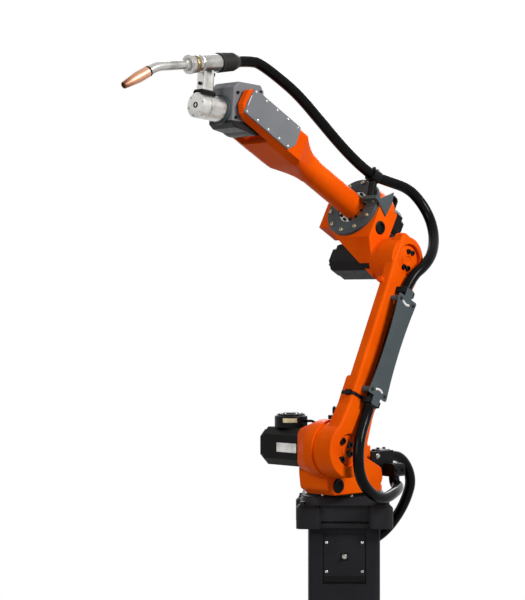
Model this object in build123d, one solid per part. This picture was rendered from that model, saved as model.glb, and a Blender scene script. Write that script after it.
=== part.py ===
from build123d import *
import os
from math import cos, sin, tan, radians

# Industrial welding robot: six turning axes on a steel pedestal, with a torch and its hose.
# Millimetres, +Z up, origin on the floor under the first axis, +X out of the pedestal's front.

# Chain of axes
SHOULDER_X = 180.0          # first axis to second axis, forwards
SHOULDER_RISE = 239.0       # top of the pedestal to the second axis
LINK_LENGTH = 600.0         # second axis to third axis
ELBOW_OFFSET = 125.0        # third axis up to the fourth axis
FOREARM_LENGTH = 620.0      # third axis to fifth axis, along the fourth
REST_TURN = -45.0           # rest angles, in degrees
REST_TILT = 25.3
REST_RISE = 28.5
REST_TOOL_RISE = 4.6
RUN_GAP = 0.4               # between faces that turn past each other
PAST = 1.0                  # how far a cutter stands out of what it cuts

# Pedestal and base
FOOT_SIDE = 460.0
FOOT_THICK = 20.0
FOOT_CORNER = 24.0
ANCHOR_SPACING = 380.0
ANCHOR_RADIUS = 9.0
PEDESTAL_HEIGHT = 500.0     # floor to the underside of the base
PEDESTAL_SIDE = 209.0
PEDESTAL_WALL = 10.0
PEDESTAL_CORNER = 14.0
TOP_PLATE_THICK = 15.0
NICHE_WIDTH = 126.0         # sunk field for the cover panel
NICHE_HEIGHT = 150.0
NICHE_DEPTH = 6.0
PANEL_WIDTH = 121.0
PANEL_HEIGHT = 132.0
PANEL_THICK = 4.0
PANEL_TOP_GAP = 10.0
PANEL_LIP = 24.0            # upper strip of the panel, bent back to the niche
PANEL_LIP_EDGE = 0.8
BASE_SIDE = 236.0
BASE_LOBE = 72.0
BASE_REACH = 141.0          # axis to the outside of the corner lobes
BASE_LOBE_HEIGHT = 67.0
BASE_LOBE_BEVEL = 8.0
BASE_DECK_HEIGHT = 92.0
BASE_DECK_SIDE = 256.0
BASE_DECK_CORNER = 60.0
BASE_DECK_TAPER = 18.0
BASE_SLOT_LOW = 14.0
BASE_SLOT_HEIGHT = 6.0
BASE_SLOT_DEPTH = 10.0
BEARING_RADIUS = 104.0
BEARING_HEIGHT = 10.0
GLAND_RADIUS = 24.0
GLAND_LENGTH = 34.0
GLAND_RIM = 7.0             # wider nut of the gland, at the wall
GLAND_DROP = 92.0           # gland axis below the top of the pedestal
GLAND_Y = 48.0

# Turning column
DRUM_RADIUS = 84.0          # housing round the second axis
DRUM_Y = 92.0               # where the drum starts, behind it is the square motor seat
SEAM_Y = 125.0              # plane in which link and column meet
SEAT_Y = 46.0
SEAT_SIDE = 120.0
SEAT_CORNER = 26.0
COLUMN_LEFT_Y = 114.0
CHEEK_RIGHT_Y = 2.0         # the casting's side wall runs from here to the left side
CHEEK_CORNER = 14.0
CHEEK_EDGE = 5.0
CHEEK_TOE = 18.0            # sloped lower corners of the side wall
CHEEK_STEP = 6.0
COLUMN_REAR_X = -50.0
COLUMN_FRONT_X = 192.0
WAIST_RADIUS = 106.0
WAIST_HEIGHT = 70.0
WAIST_EDGE = 12.0
COLUMN_FOOT_RADIUS = 114.0
COLUMN_FOOT_HEIGHT = 16.0
COLUMN_FOOT_BEVEL = 3.0
LIFT_HOLE_RADIUS = 16.0
LIFT_HOLE_DEPTH = 14.0
LIFT_HOLE_BACK = 38.0       # from the shoulder axis, towards the rear
LIFT_HOLE_RISE = 28.0
BRACKET_Y = 78.0            # plate between the two rear hose clamps
BRACKET_THICK = 5.0
BRACKET_HOLD = 12.0         # how far the plate reaches along the casting
CLAMP_LENGTH = 48.0
CLAMP_WIDTH = 46.0
CLAMP_HEIGHT = 38.0
CLAMP_BEVEL = 6.0
HIGH_CLAMP_X = -134.0
HIGH_CLAMP_DROP = 61.0      # clamp undersides below the shoulder axis
LOW_CLAMP_X = -136.0
LOW_CLAMP_DROP = 98.0

# Motors
MOTOR_SIDE = 110.0
MOTOR_BEVEL = 20.0
MOTOR_CAP_STEP = 9.0        # the end cap is this much smaller all round
MOTOR_CAP_LENGTH = 18.0
MOTOR_GROOVE = 2.0
MOTOR_GROOVE_WIDTH = 4.0
MOTOR_GAP = 1.0             # left free round a motor that sits in a casting
SHOULDER_MOTOR_LENGTH = 150.0
ELBOW_MOTOR_SIDE = 96.0
ELBOW_MOTOR_LENGTH = 166.0
TURN_MOTOR_SIDE = 92.0
TURN_MOTOR_TOP = 105.0      # above the shoulder axis
TURN_MOTOR_DROP = 8.0       # its seat, below the shoulder axis
TURN_MOTOR_X = -18.0
TURN_MOTOR_BEVEL = 10.0
REAR_FLANGE = 12.0          # round plate that carries the three rear motors
REAR_FLANGE_RADIUS = 74.0
ROLL_MOTOR_SIDE = 86.0
ROLL_MOTOR_BEVEL = 18.0
ROLL_MOTOR_LENGTH = 84.0
ROLL_MOTOR_RISE = 32.0      # above the fourth axis
SMALL_MOTOR_SIDE = 58.0
SMALL_MOTOR_BEVEL = 10.0
SMALL_MOTOR_LENGTH = 74.0
SMALL_MOTOR_DROP = 44.0
SMALL_MOTOR_Y = 33.0
PLUG_RADIUS = 18.0          # round connectors on the roll motor
PLUG_HEIGHT = 24.0
PLUG_X = 36.0
CONNECTOR_RADIUS = 48.0
CONNECTOR_HEIGHT = 34.0
CONNECTOR_EDGE = 6.0
CONNECTOR_Y = -40.0

# Link arm
LINK_OUTER_Y = 194.0
LINK_WEB_Y = 156.0          # inner face of the slim middle
LINK_STEP_Y = 145.0         # inner face of the thicker foot
LINK_HALF_WIDTH = 55.0
LINK_DRUM_RADIUS = 79.0
LINK_HEAD_RADIUS = 68.0
LINK_STEP_RISE = 212.0
LINK_SHOULDER_RISE = 120.0  # the sides run straight from here up
LINK_CORNER = 26.0
LINK_EDGE = 8.0
LINK_CROWN = 26.0           # where the head's flat top begins, behind its middle
POCKET_RADIUS = 47.0
POCKET_DEPTH = 12.0
STOP_RADIUS = 9.0           # rubber stop's lug beside the elbow
STOP_REACH = 12.0
STOP_DROP = 92.0
COVER_X = -6.0              # middle line of the hose cover plate
COVER_THICK = 3.0
COVER_LOW = 168.0
COVER_HIGH = 480.0
COVER_END_HALF = 41.0
COVER_MID_HALF = 31.0
COVER_CORNER = 6.0
COVER_NECK_HALF = 15.0
COVER_NECK = 26.0
STANDOFF_RADIUS = 8.0
STANDOFF_INSET = 13.0

# Arm housing
HUB_RADIUS = 65.0
HUB_BACK_Y = 92.0
ARM_SIDE_Y = 100.0
ARM_FAR_Y = -88.0
ARM_REAR_X = 20.0           # rear of the housing, where its motors sit
ARM_FLOOR = -66.0           # lowest point of the neck, from the third axis
NECK_REAR_X = -50.0
STEP_Z = 8.0                # the neck reaches further back below this
ARM_EDGE = 6.0
RING_RADIUS = 94.0
RING_X = 98.0               # back face of the ring, from the third axis
RING_THICK = 12.0
HOUSING_RADIUS = 90.0
BULGE_REACH = 40.0          # belt cover on the far side, out of the housing
BULGE_BACK = 20.0
BULGE_LOW = 62.0
BULGE_HIGH = 148.0
BULGE_EDGE = 12.0
PLUG_HOLE = (68.0, 73.0)
PLUG_HOLE_RADIUS = 15.0
PLUG_HOLE_DEPTH = 12.0
BRACKET_SHEET = 4.0
BRACKET_TAB = 20.0
BRACKET_TAB_Y = 46.0
BRACKET_TAB_THICK = 10.0
BRACKET_TAB_LOW = 138.0
POST_RADIUS = 13.0
POST_FOOT = (116.0, 66.0, 152.0)
CLAMP_POINT = (133.0, 66.0, 213.0)
COLLAR_RADIUS = 22.0
COLLAR_LENGTH = 30.0

# Forearm and wrist
TUBE_RADIUS = 38.0
TUBE_FLANGE_RADIUS = 52.0
TUBE_FLANGE_THICK = 9.0
FLARE_START = 300.0         # back from the fifth axis, where the tube begins to open
FLARE_END = 190.0
FLARE_RIM = 2.0             # small step where the tube enters the casting
WRIST_HALF_WIDTH = 74.0
WRIST_TOP = 46.0
WRIST_BOTTOM = -50.0
WRIST_EDGE = 14.0
WRIST_BEVEL_WIDTH = 26.0    # lower long edges are cut away at a slant
WRIST_BEVEL_HEIGHT = 11.0
FORK_HALF_GAP = 54.0
FORK_DEPTH = 94.0           # from the fifth axis back to the floor of the fork
FORK_REACH = 75.0
FORK_SLANT = 20.0           # the fork's floor leans forwards below the fourth axis
PLATE_THICK = 5.0
PLATE_CORNER = 5.0
SWIVEL_RADIUS = 62.0
SWIVEL_HALF = 48.5
SWIVEL_EDGE = 5.0
TRUNNION_RADIUS = 30.0
HOOD_TOP = 82.0
HOOD_BACK = -28.0
SWIVEL_FRONT = 88.0
FLANGE_RADIUS = 41.0
FLANGE_X = 96.0

# Torch
SENSOR_RADIUS = 35.0
SENSOR_X = 184.0
SENSOR_GROOVE = 1.5
SENSOR_GROOVE_X = 152.0
SENSOR_GROOVE_WIDTH = 3.0
SENSOR_EDGE = 2.0
TORCH_TILT = 12.0
TORCH_RISE = 119.0          # torch axis above the flange axis, at the bracket
TORCH_X = 159.0             # where that is measured
BRACKET_FOOT_BACK = 30.0
BRACKET_FOOT_FRONT = 18.0
BRACKET_FOOT_HALF = 20.0
BRACKET_FOOT_THICK = 10.0
ARM_PLATE_HALF = 14.0       # two upright plates of the torch bracket
ARM_PLATE_THICK = 8.0
FRONT_PLATE_X = 4.0
BACK_PLATE_X = -24.0
BODY_RADIUS = 25.0
BODY_FRONT = 64.0           # along the torch axis, from the bracket
BODY_BACK = -50.0
BOOT_BACK = -122.0
BOOT_RADIUS = 28.0
BOOT_STEP = -104.0
BOOT_MOUTH = 19.0
NECK_RADIUS = 13.0
NECK_STRAIGHT = 112.0
NECK_END = 40.0
NECK_BEND = 20.0
NECK_BEND_RADIUS = 120.0
NOZZLE_LENGTH = 92.0
NOZZLE_BACK_RADIUS = 15.5
NOZZLE_TIP_RADIUS = 9.5
NOZZLE_STRAIGHT = 38.0
NOZZLE_BORE = 7.0
NOZZLE_BORE_DEPTH = 26.0

HOSE_RADIUS = 16.0
HOSE_LEAD = 45.0            # straight run of a hose out of the boot and the cover

# Frames of the moving bodies at rest
BEARING_Z = PEDESTAL_HEIGHT + BASE_DECK_HEIGHT
COLUMN_Z = BEARING_Z + BEARING_HEIGHT
SHOULDER_Z = PEDESTAL_HEIGHT + SHOULDER_RISE
TURN_MOTOR_LOW = SHOULDER_Z - TURN_MOTOR_DROP
HIGH_CLAMP_Z = SHOULDER_Z - HIGH_CLAMP_DROP
LOW_CLAMP_Z = SHOULDER_Z - LOW_CLAMP_DROP
ROW = Pos(0, 0, 0)
TURRET = Rot(0, 0, REST_TURN)
SHOULDER = TURRET * Pos(SHOULDER_X, 0, SHOULDER_Z)
LINK = SHOULDER * Rot(0, -REST_TILT, 0)
ELBOW = LINK * Pos(0, 0, LINK_LENGTH) * Rot(0, REST_TILT - REST_RISE, 0)
FOREARM = ELBOW * Pos(0, 0, ELBOW_OFFSET)
WRIST_SEAT = FOREARM * Pos(FOREARM_LENGTH, 0, 0)
WRIST = WRIST_SEAT * Rot(0, REST_RISE - REST_TOOL_RISE, 0)
TORCH = WRIST * Pos(TORCH_X, 0, TORCH_RISE) * Rot(0, TORCH_TILT, 0)


def block(x0, x1, y0, y1, z0, z1):
    """A box between two corners."""
    return Pos((x0 + x1) / 2, (y0 + y1) / 2, (z0 + z1) / 2) * Box(x1 - x0, y1 - y0, z1 - z0)


def rod_z(radius, z0, z1):
    """A cylinder along Z."""
    return Pos(0, 0, (z0 + z1) / 2) * Cylinder(radius, z1 - z0)


def rod_y(radius, y0, y1):
    """A cylinder along Y."""
    return Pos(0, (y0 + y1) / 2, 0) * Rot(90, 0, 0) * Cylinder(radius, y1 - y0)


def rod_x(radius, x0, x1):
    """A cylinder along X."""
    return Pos((x0 + x1) / 2, 0, 0) * Rot(0, 90, 0) * Cylinder(radius, x1 - x0)


def side_plate(points, y0, y1, corner=0.0):
    """A flat outline in X and Z, carried from y0 to y1, with its corners rounded."""
    face = make_face(Polyline(*points, close=True))
    if corner:
        face = fillet(face.vertices(), corner)
    return extrude(Plane((0, y1, 0), x_dir=(1, 0, 0), z_dir=(0, -1, 0)) * face, amount=y1 - y0)


def front_plate(points, x0, x1, corner=0.0):
    """A flat outline in Y and Z, carried from x0 to x1, with its corners rounded."""
    face = make_face(Polyline(*points, close=True))
    if corner:
        face = fillet(face.vertices(), corner)
    return extrude(Plane((x0, 0, 0), x_dir=(0, 1, 0), z_dir=(1, 0, 0)) * face, amount=x1 - x0)


def round_ends(solid, axis, radius):
    """Rounds the rims of a plate's two faces across an axis."""
    faces = solid.faces().sort_by(axis)
    return fillet(faces[-1].edges() + faces[0].edges(), radius)


def turned(points):
    """A closed outline of (along, radius) points, turned about X."""
    face = make_face(Polyline(*points, close=True))
    return revolve(Plane.XZ * face, axis=Axis.X)


def motor_bar(side, bevel, length):
    """A square motor body with bevelled edges, from the origin along +X."""
    bar = block(0, length, -side / 2, side / 2, -side / 2, side / 2)
    return chamfer(bar.edges().filter_by(Axis.X), bevel)


def servo_motor(side, bevel, length):
    """A motor along +X: its body, a groove, and a smaller end cap."""
    body = motor_bar(side, bevel, length - MOTOR_GROOVE_WIDTH)
    waist = motor_bar(side - 2 * MOTOR_GROOVE - 2 * MOTOR_CAP_STEP, bevel, length)
    cap = Pos(length, 0, 0) * motor_bar(side - 2 * MOTOR_CAP_STEP, bevel, MOTOR_CAP_LENGTH)
    return body + waist + cap


def hose(points):
    """A tube on straight runs and tangent arcs through the route's points."""
    runs = [Vector(b) - Vector(a) for a, b in zip(points, points[1:])]
    radii = []
    for before, after in zip(runs, runs[1:]):
        half_turn = radians(before.get_angle(after)) / 2
        radii.append(0.45 * min(before.length, after.length) / tan(half_turn))
    path = FilletPolyline(*points, radius=radii)
    print("hose bends", [round(r) for r in radii], "length", round(path.length, 1))
    start = Plane(origin=path @ 0, z_dir=path % 0)
    return sweep(start * Circle(HOSE_RADIUS), path=path)


def between(start, end, share):
    """A point on the straight line from start to end."""
    return start + (end - start) * share


def in_turret(place, *points):
    """Points of a placed frame, in the turret frame."""
    return [(TURRET.inverse() * place * Pos(*p)).position for p in points]


# Hose routes, in the turret frame, from the torch down to the pedestal
HOSE_Y = LINK_OUTER_Y + HOSE_RADIUS + RUN_GAP
COVER_Y = HOSE_Y + HOSE_RADIUS + RUN_GAP
COVER_TOP = COVER_HIGH + COVER_NECK
COVER_END = COVER_LOW - COVER_NECK
HIGH_HOSE_Y = BRACKET_Y - BRACKET_THICK - CLAMP_WIDTH / 2
HIGH_HOSE_Z = CLAMP_HEIGHT / 2 - HIGH_CLAMP_DROP
LOW_HOSE_X = LOW_CLAMP_X + CLAMP_LENGTH / 2 - SHOULDER_X
LOW_HOSE_Y = BRACKET_Y + CLAMP_WIDTH / 2
GLAND_MOUTH_X = -PEDESTAL_SIDE / 2 - GLAND_LENGTH
GLAND_Z = PEDESTAL_HEIGHT - GLAND_DROP
PEDESTAL_TOP = Pos(0, 0, PEDESTAL_HEIGHT)
REAR_LEAD = 38.0
CLAMP_LEAD = 30.0
GLAND_LEAD = 24.0

OVER_WRIST = in_turret(WRIST_SEAT, (19, 4, 154), (-140, 20, 137), (-251, 34, 113))
OVER_TUBE = in_turret(ELBOW, (271, 48, 227), (182, 60, 213), CLAMP_POINT)
WRIST_SPLIT = between(OVER_WRIST[0], OVER_WRIST[1], 0.7)
FOREARM_SPLIT = between(OVER_WRIST[2], OVER_TUBE[0], 0.41)
BOOT_END = in_turret(TORCH, (BOOT_BACK, 0, 0), (BOOT_BACK - HOSE_LEAD, 0, 0))
ROUTE_TOOL = BOOT_END + [OVER_WRIST[0], WRIST_SPLIT]
ROUTE_WRIST = [WRIST_SPLIT, OVER_WRIST[1], OVER_WRIST[2], FOREARM_SPLIT]
ROUTE_FOREARM = [FOREARM_SPLIT] + OVER_TUBE
ROUTE_ELBOW = (in_turret(ELBOW, CLAMP_POINT, (84, 72, 213), (4, 86, 234), (-58, 102, 225),
                         (-97, 124, 198), (-109, 148, 155), (-94, 178, 104), (-66, 206, 54))
               + in_turret(LINK, (-30, 216, LINK_LENGTH - 2), (COVER_X, HOSE_Y, COVER_TOP + HOSE_LEAD),
                           (COVER_X, HOSE_Y, COVER_TOP)))
ROUTE_COVER = [(COVER_X, HOSE_Y, COVER_TOP), (COVER_X, HOSE_Y, COVER_END)]
ROUTE_SHOULDER = (in_turret(LINK, (COVER_X, HOSE_Y, COVER_END), (COVER_X, HOSE_Y, COVER_END - HOSE_LEAD))
                  + in_turret(SHOULDER, (-12, 222, 36), (4, 230, -19), (-4, 228, -71), (-34, 222, -111),
                              (-80, 210, -137), (-130, 196, -150), (-186, 175, -154), (-238, 150, -153),
                              (-276, 124, -146), (LOW_HOSE_X, LOW_HOSE_Y, -LOW_CLAMP_DROP - CLAMP_LEAD),
                              (LOW_HOSE_X, LOW_HOSE_Y, -LOW_CLAMP_DROP)))
ROUTE_BASE = (in_turret(SHOULDER, (HIGH_CLAMP_X - SHOULDER_X, HIGH_HOSE_Y, HIGH_HOSE_Z),
                        (HIGH_CLAMP_X - REAR_LEAD - SHOULDER_X, HIGH_HOSE_Y, HIGH_HOSE_Z),
                        (-387, 50, -57), (-414, 50, -89), (-431, 44, -124), (-437, 32, -156))
              + in_turret(TURRET * PEDESTAL_TOP, (-256, 10, 37), (-251, -20, -8), (-241, -50, -45),
                          (-217, -76, -72), (-180, -91, -87))
              + in_turret(ROW, (GLAND_MOUTH_X - GLAND_LEAD, GLAND_Y, GLAND_Z),
                          (GLAND_MOUTH_X, GLAND_Y, GLAND_Z)))


def cover_hose():
    """The straight stretch of hose between the link and its cover plate."""
    line = Line(*ROUTE_COVER)
    return sweep(Plane(line @ 0, z_dir=line % 0) * Circle(HOSE_RADIUS), path=line)


# Pedestal and base, in the row frame
def foot_plate():
    plate = block(-FOOT_SIDE / 2, FOOT_SIDE / 2, -FOOT_SIDE / 2, FOOT_SIDE / 2, 0, FOOT_THICK)
    plate = fillet(plate.edges().filter_by(Axis.Z), FOOT_CORNER)
    holes = GridLocations(ANCHOR_SPACING, ANCHOR_SPACING, 2, 2)
    return plate - holes * rod_z(ANCHOR_RADIUS, -PAST, FOOT_THICK + PAST)


COLUMN_TOP = PEDESTAL_HEIGHT - TOP_PLATE_THICK
NICHE_FLOOR_X = PEDESTAL_SIDE / 2 - NICHE_DEPTH


def pedestal_column():
    half = PEDESTAL_SIDE / 2
    inner = half - PEDESTAL_WALL
    post = block(-half, half, -half, half, FOOT_THICK, COLUMN_TOP)
    post = fillet(post.edges().filter_by(Axis.Z), PEDESTAL_CORNER)
    post -= block(-inner, inner, -inner, inner, FOOT_THICK, COLUMN_TOP)
    niche = block(NICHE_FLOOR_X, half + PAST, -NICHE_WIDTH / 2, NICHE_WIDTH / 2,
                  COLUMN_TOP - NICHE_HEIGHT, COLUMN_TOP + PAST)
    return post - niche


def pedestal_cover_panel():
    top = COLUMN_TOP - PANEL_TOP_GAP
    face = NICHE_FLOOR_X + PANEL_THICK
    outline = [(NICHE_FLOOR_X, top - PANEL_HEIGHT), (face, top - PANEL_HEIGHT), (face, top - PANEL_LIP),
               (NICHE_FLOOR_X + PANEL_LIP_EDGE, top), (NICHE_FLOOR_X, top)]
    return side_plate(outline, -PANEL_WIDTH / 2, PANEL_WIDTH / 2)


def pedestal_top_plate():
    half = PEDESTAL_SIDE / 2
    plate = block(-half, half, -half, half, COLUMN_TOP, PEDESTAL_HEIGHT)
    return fillet(plate.edges().filter_by(Axis.Z), PEDESTAL_CORNER)


def base_frame():
    z0 = PEDESTAL_HEIGHT
    half = BASE_SIDE / 2
    lobe_top = z0 + BASE_LOBE_HEIGHT
    body = block(-half, half, -half, half, z0, lobe_top)
    centre = BASE_REACH - BASE_LOBE / 2
    lobe = block(-BASE_LOBE / 2, BASE_LOBE / 2, -BASE_LOBE / 2, BASE_LOBE / 2, z0, lobe_top)
    lobe = fillet(lobe.edges().filter_by(Axis.Z), BASE_LOBE / 4)
    lobe = chamfer(lobe.faces().sort_by(Axis.Z)[-1].edges(), BASE_LOBE_BEVEL)
    body = body + [Pos(x, y, 0) * lobe for x in (-centre, centre) for y in (-centre, centre)]
    deck = extrude(Pos(0, 0, lobe_top) * RectangleRounded(BASE_DECK_SIDE, BASE_DECK_SIDE, BASE_DECK_CORNER),
                   amount=BEARING_Z - lobe_top, taper=BASE_DECK_TAPER)
    slot_low = z0 + BASE_SLOT_LOW
    slot = block(half - BASE_SLOT_DEPTH, half + PAST, -BASE_LOBE, BASE_LOBE,
                 slot_low, slot_low + BASE_SLOT_HEIGHT)
    return body + deck - slot


def base_bearing_ring():
    return rod_z(BEARING_RADIUS, BEARING_Z, COLUMN_Z - RUN_GAP)


def pedestal_hose_gland():
    place = Pos(-PEDESTAL_SIDE / 2, GLAND_Y, GLAND_Z)
    nut = rod_x(GLAND_RADIUS + GLAND_RIM, -GLAND_LENGTH / 2, 0)
    return place * (rod_x(GLAND_RADIUS, -GLAND_LENGTH, 0) + nut)


# Turning column, in the turret frame
def column_cheek():
    """The casting's left side wall, as an outline seen from the side."""
    z0 = COLUMN_Z
    front = COLUMN_FRONT_X
    outline = [(front, SHOULDER_Z - DRUM_RADIUS / 2), (front, SHOULDER_Z - DRUM_RADIUS + CHEEK_STEP),
               (front - CHEEK_STEP, z0 + CHEEK_TOE), (front - 2 * CHEEK_TOE, z0),
               (COLUMN_REAR_X + CHEEK_TOE, z0), (COLUMN_REAR_X, z0 + 2 * CHEEK_TOE),
               (COLUMN_REAR_X + CHEEK_STEP, z0 + WAIST_HEIGHT),
               (SHOULDER_X - DRUM_RADIUS - CHEEK_TOE, SHOULDER_Z - CHEEK_STEP),
               (SHOULDER_X - DRUM_RADIUS / 2, SHOULDER_Z + DRUM_RADIUS - CHEEK_TOE)]
    return side_plate(outline, CHEEK_RIGHT_Y, COLUMN_LEFT_Y, CHEEK_CORNER)


def turning_column():
    z0 = COLUMN_Z
    foot = rod_z(COLUMN_FOOT_RADIUS, z0, z0 + COLUMN_FOOT_HEIGHT)
    foot = chamfer(foot.faces().sort_by(Axis.Z)[-1].edges(), COLUMN_FOOT_BEVEL)
    waist = rod_z(WAIST_RADIUS, z0, z0 + WAIST_HEIGHT)
    waist = fillet(waist.faces().sort_by(Axis.Z)[-1].edges(), WAIST_EDGE)
    cheek = round_ends(column_cheek(), Axis.Y, CHEEK_EDGE)
    axis_place = Pos(SHOULDER_X, 0, SHOULDER_Z)
    drum = axis_place * rod_y(DRUM_RADIUS, DRUM_Y - PAST, SEAM_Y - RUN_GAP)
    facing = Plane((SHOULDER_X, 0, SHOULDER_Z), x_dir=(1, 0, 0), z_dir=(0, -1, 0))
    across = 2 * DRUM_RADIUS
    seat = loft([facing.offset(-DRUM_Y) * RectangleRounded(across, across, DRUM_RADIUS - RUN_GAP),
                 facing.offset(-SEAT_Y) * RectangleRounded(SEAT_SIDE, SEAT_SIDE, SEAT_CORNER)])
    room = MOTOR_SIDE / 2 + MOTOR_GAP
    clear = axis_place * block(-room, across, -SHOULDER_MOTOR_LENGTH, SEAT_Y, -room, across)
    half = TURN_MOTOR_SIDE / 2 + CHEEK_EDGE
    pad = block(TURN_MOTOR_X - half, TURN_MOTOR_X + half, -half, half, z0, TURN_MOTOR_LOW)
    pad = fillet(pad.edges().filter_by(Axis.Z), TURN_MOTOR_BEVEL)
    body = foot + waist + pad + (cheek - clear) + drum + seat
    hole = Pos(SHOULDER_X - LIFT_HOLE_BACK, 0, z0 + LIFT_HOLE_RISE) * rod_y(
        LIFT_HOLE_RADIUS, COLUMN_LEFT_Y - LIFT_HOLE_DEPTH, COLUMN_LEFT_Y + PAST)
    return body - hole


def shoulder_motor():
    motor = servo_motor(MOTOR_SIDE, MOTOR_BEVEL, SHOULDER_MOTOR_LENGTH)
    return Pos(SHOULDER_X, SEAT_Y, SHOULDER_Z) * Rot(0, 0, -90) * motor


def shoulder_motor_connector():
    base = SHOULDER_Z + MOTOR_SIDE / 2
    can = Pos(SHOULDER_X, CONNECTOR_Y, 0) * rod_z(CONNECTOR_RADIUS, base, base + CONNECTOR_HEIGHT)
    return fillet(can.faces().sort_by(Axis.Z)[-1].edges(), CONNECTOR_EDGE)


def turn_motor():
    height = SHOULDER_Z + TURN_MOTOR_TOP - TURN_MOTOR_LOW - MOTOR_CAP_LENGTH
    motor = Rot(0, -90, 0) * servo_motor(TURN_MOTOR_SIDE, TURN_MOTOR_BEVEL, height)
    return Pos(TURN_MOTOR_X, 0, TURN_MOTOR_LOW) * motor


def rear_hose_bracket():
    plate = block(HIGH_CLAMP_X, COLUMN_REAR_X + BRACKET_HOLD, BRACKET_Y - BRACKET_THICK, BRACKET_Y,
                  LOW_CLAMP_Z, HIGH_CLAMP_Z + CLAMP_HEIGHT)
    return plate - turning_column()


def hose_clamp(x0, y0, z0):
    clamp = block(x0, x0 + CLAMP_LENGTH, y0, y0 + CLAMP_WIDTH, z0, z0 + CLAMP_HEIGHT)
    return chamfer(clamp.edges().filter_by(Axis.X), CLAMP_BEVEL)


# Link arm, in the link frame: X forwards across the link, Z along it
def link_arm():
    width = LINK_HALF_WIDTH
    head = LINK_LENGTH
    flank = LINK_DRUM_RADIUS - LINK_EDGE
    beam = side_plate([(-flank, 0), (-width, LINK_SHOULDER_RISE), (-width, head - LINK_HEAD_RADIUS),
                       (-LINK_HEAD_RADIUS, head), (-LINK_CROWN, head + LINK_HEAD_RADIUS - LINK_EDGE),
                       (width, head + LINK_HEAD_RADIUS), (width + LINK_EDGE / 2, head - LINK_CROWN),
                       (width, head - LINK_STEP_RISE / 2), (width, LINK_SHOULDER_RISE), (flank, 0)],
                      LINK_WEB_Y, LINK_OUTER_Y, LINK_CORNER / 2)
    foot = side_plate([(-flank, 0), (-width, LINK_SHOULDER_RISE), (-width, LINK_STEP_RISE),
                       (width, LINK_STEP_RISE), (width, LINK_SHOULDER_RISE), (flank, 0)],
                      LINK_STEP_Y, LINK_OUTER_Y - LINK_EDGE, LINK_CORNER / 2)
    drum = round_ends(rod_y(LINK_DRUM_RADIUS, SEAM_Y, LINK_OUTER_Y), Axis.Y, LINK_EDGE / 2)
    knuckle = Pos(0, 0, head) * rod_y(LINK_HEAD_RADIUS, SEAM_Y, LINK_OUTER_Y - LINK_EDGE)
    arm = round_ends(beam, Axis.Y, LINK_EDGE) + round_ends(foot, Axis.Y, LINK_EDGE / 2) + drum + knuckle
    stop = Pos(0, LINK_WEB_Y + STOP_RADIUS, head - STOP_DROP) * rod_x(STOP_RADIUS, 0, width + STOP_REACH)
    pocket = rod_y(POCKET_RADIUS, LINK_OUTER_Y - POCKET_DEPTH, LINK_OUTER_Y + PAST)
    return arm + stop - pocket - Pos(0, 0, head) * pocket


def hose_cover_plate():
    mid = (COVER_LOW + COVER_HIGH) / 2
    end = COVER_END_HALF
    left = ThreePointArc((-end, COVER_LOW), (-COVER_MID_HALF, mid), (-end, COVER_HIGH))
    top = Line((-end, COVER_HIGH), (end, COVER_HIGH))
    right = ThreePointArc((end, COVER_HIGH), (COVER_MID_HALF, mid), (end, COVER_LOW))
    bottom = Line((end, COVER_LOW), (-end, COVER_LOW))
    sheet = make_face([left, top, right, bottom])
    sheet = fillet(sheet.vertices(), COVER_CORNER)
    neck_height = COVER_TOP - COVER_END
    sheet = sheet + Pos(0, mid) * Rectangle(2 * COVER_NECK_HALF, neck_height)
    outside = Plane((0, COVER_Y + COVER_THICK, 0), x_dir=(1, 0, 0), z_dir=(0, -1, 0))
    plate = extrude(outside * sheet, COVER_THICK)
    inset = end - STANDOFF_INSET
    posts = [Pos(x, 0, z) * rod_y(STANDOFF_RADIUS, LINK_OUTER_Y, COVER_Y)
             for x in (-inset, inset) for z in (COVER_LOW + STANDOFF_INSET, COVER_HIGH - STANDOFF_INSET)]
    return Pos(COVER_X, 0, 0) * (plate + posts)


# Arm housing, in the elbow frame: X along the forearm, Z up to the fourth axis
def arm_neck():
    """The tapering casting between the hub and the ring: its front and side outlines, crossed."""
    top = ELBOW_OFFSET + HOUSING_RADIUS / 4
    front = front_plate([(ARM_SIDE_Y, top), (ARM_SIDE_Y, ARM_FLOOR), (HUB_BACK_Y, ARM_FLOOR), (-60, 46),
                         (ARM_FAR_Y, ELBOW_OFFSET - 20), (ARM_FAR_Y, top)], NECK_REAR_X, RING_X, ARM_EDGE)
    side = side_plate([(RING_X, top), (RING_X, 26), (26, ARM_FLOOR), (-26, ARM_FLOOR),
                       (NECK_REAR_X, -20), (NECK_REAR_X, STEP_Z), (ARM_REAR_X, STEP_Z + 38),
                       (ARM_REAR_X, top)], ARM_FAR_Y, ARM_SIDE_Y, ARM_EDGE)
    return front & side


def arm_housing():
    upper = Pos(0, 0, ELBOW_OFFSET) * rod_x(HOUSING_RADIUS, ARM_REAR_X, RING_X)
    room = ELBOW_MOTOR_SIDE / 2 + MOTOR_GAP
    well = block(-room, room, 2 * ARM_FAR_Y, HUB_BACK_Y, -room, room)
    hub = rod_y(HUB_RADIUS, HUB_BACK_Y, SEAM_Y - RUN_GAP)
    bulge = block(BULGE_BACK, RING_X, ARM_FAR_Y - BULGE_REACH, 0, BULGE_LOW, BULGE_HIGH)
    bulge = fillet(bulge.faces().sort_by(Axis.Y)[0].edges(), BULGE_EDGE)
    body = upper + arm_neck() + bulge - well + hub
    hole = Pos(PLUG_HOLE[0], 0, PLUG_HOLE[1]) * rod_y(
        PLUG_HOLE_RADIUS, ARM_SIDE_Y - PLUG_HOLE_DEPTH, ARM_SIDE_Y + PAST)
    return body - hole


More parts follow.
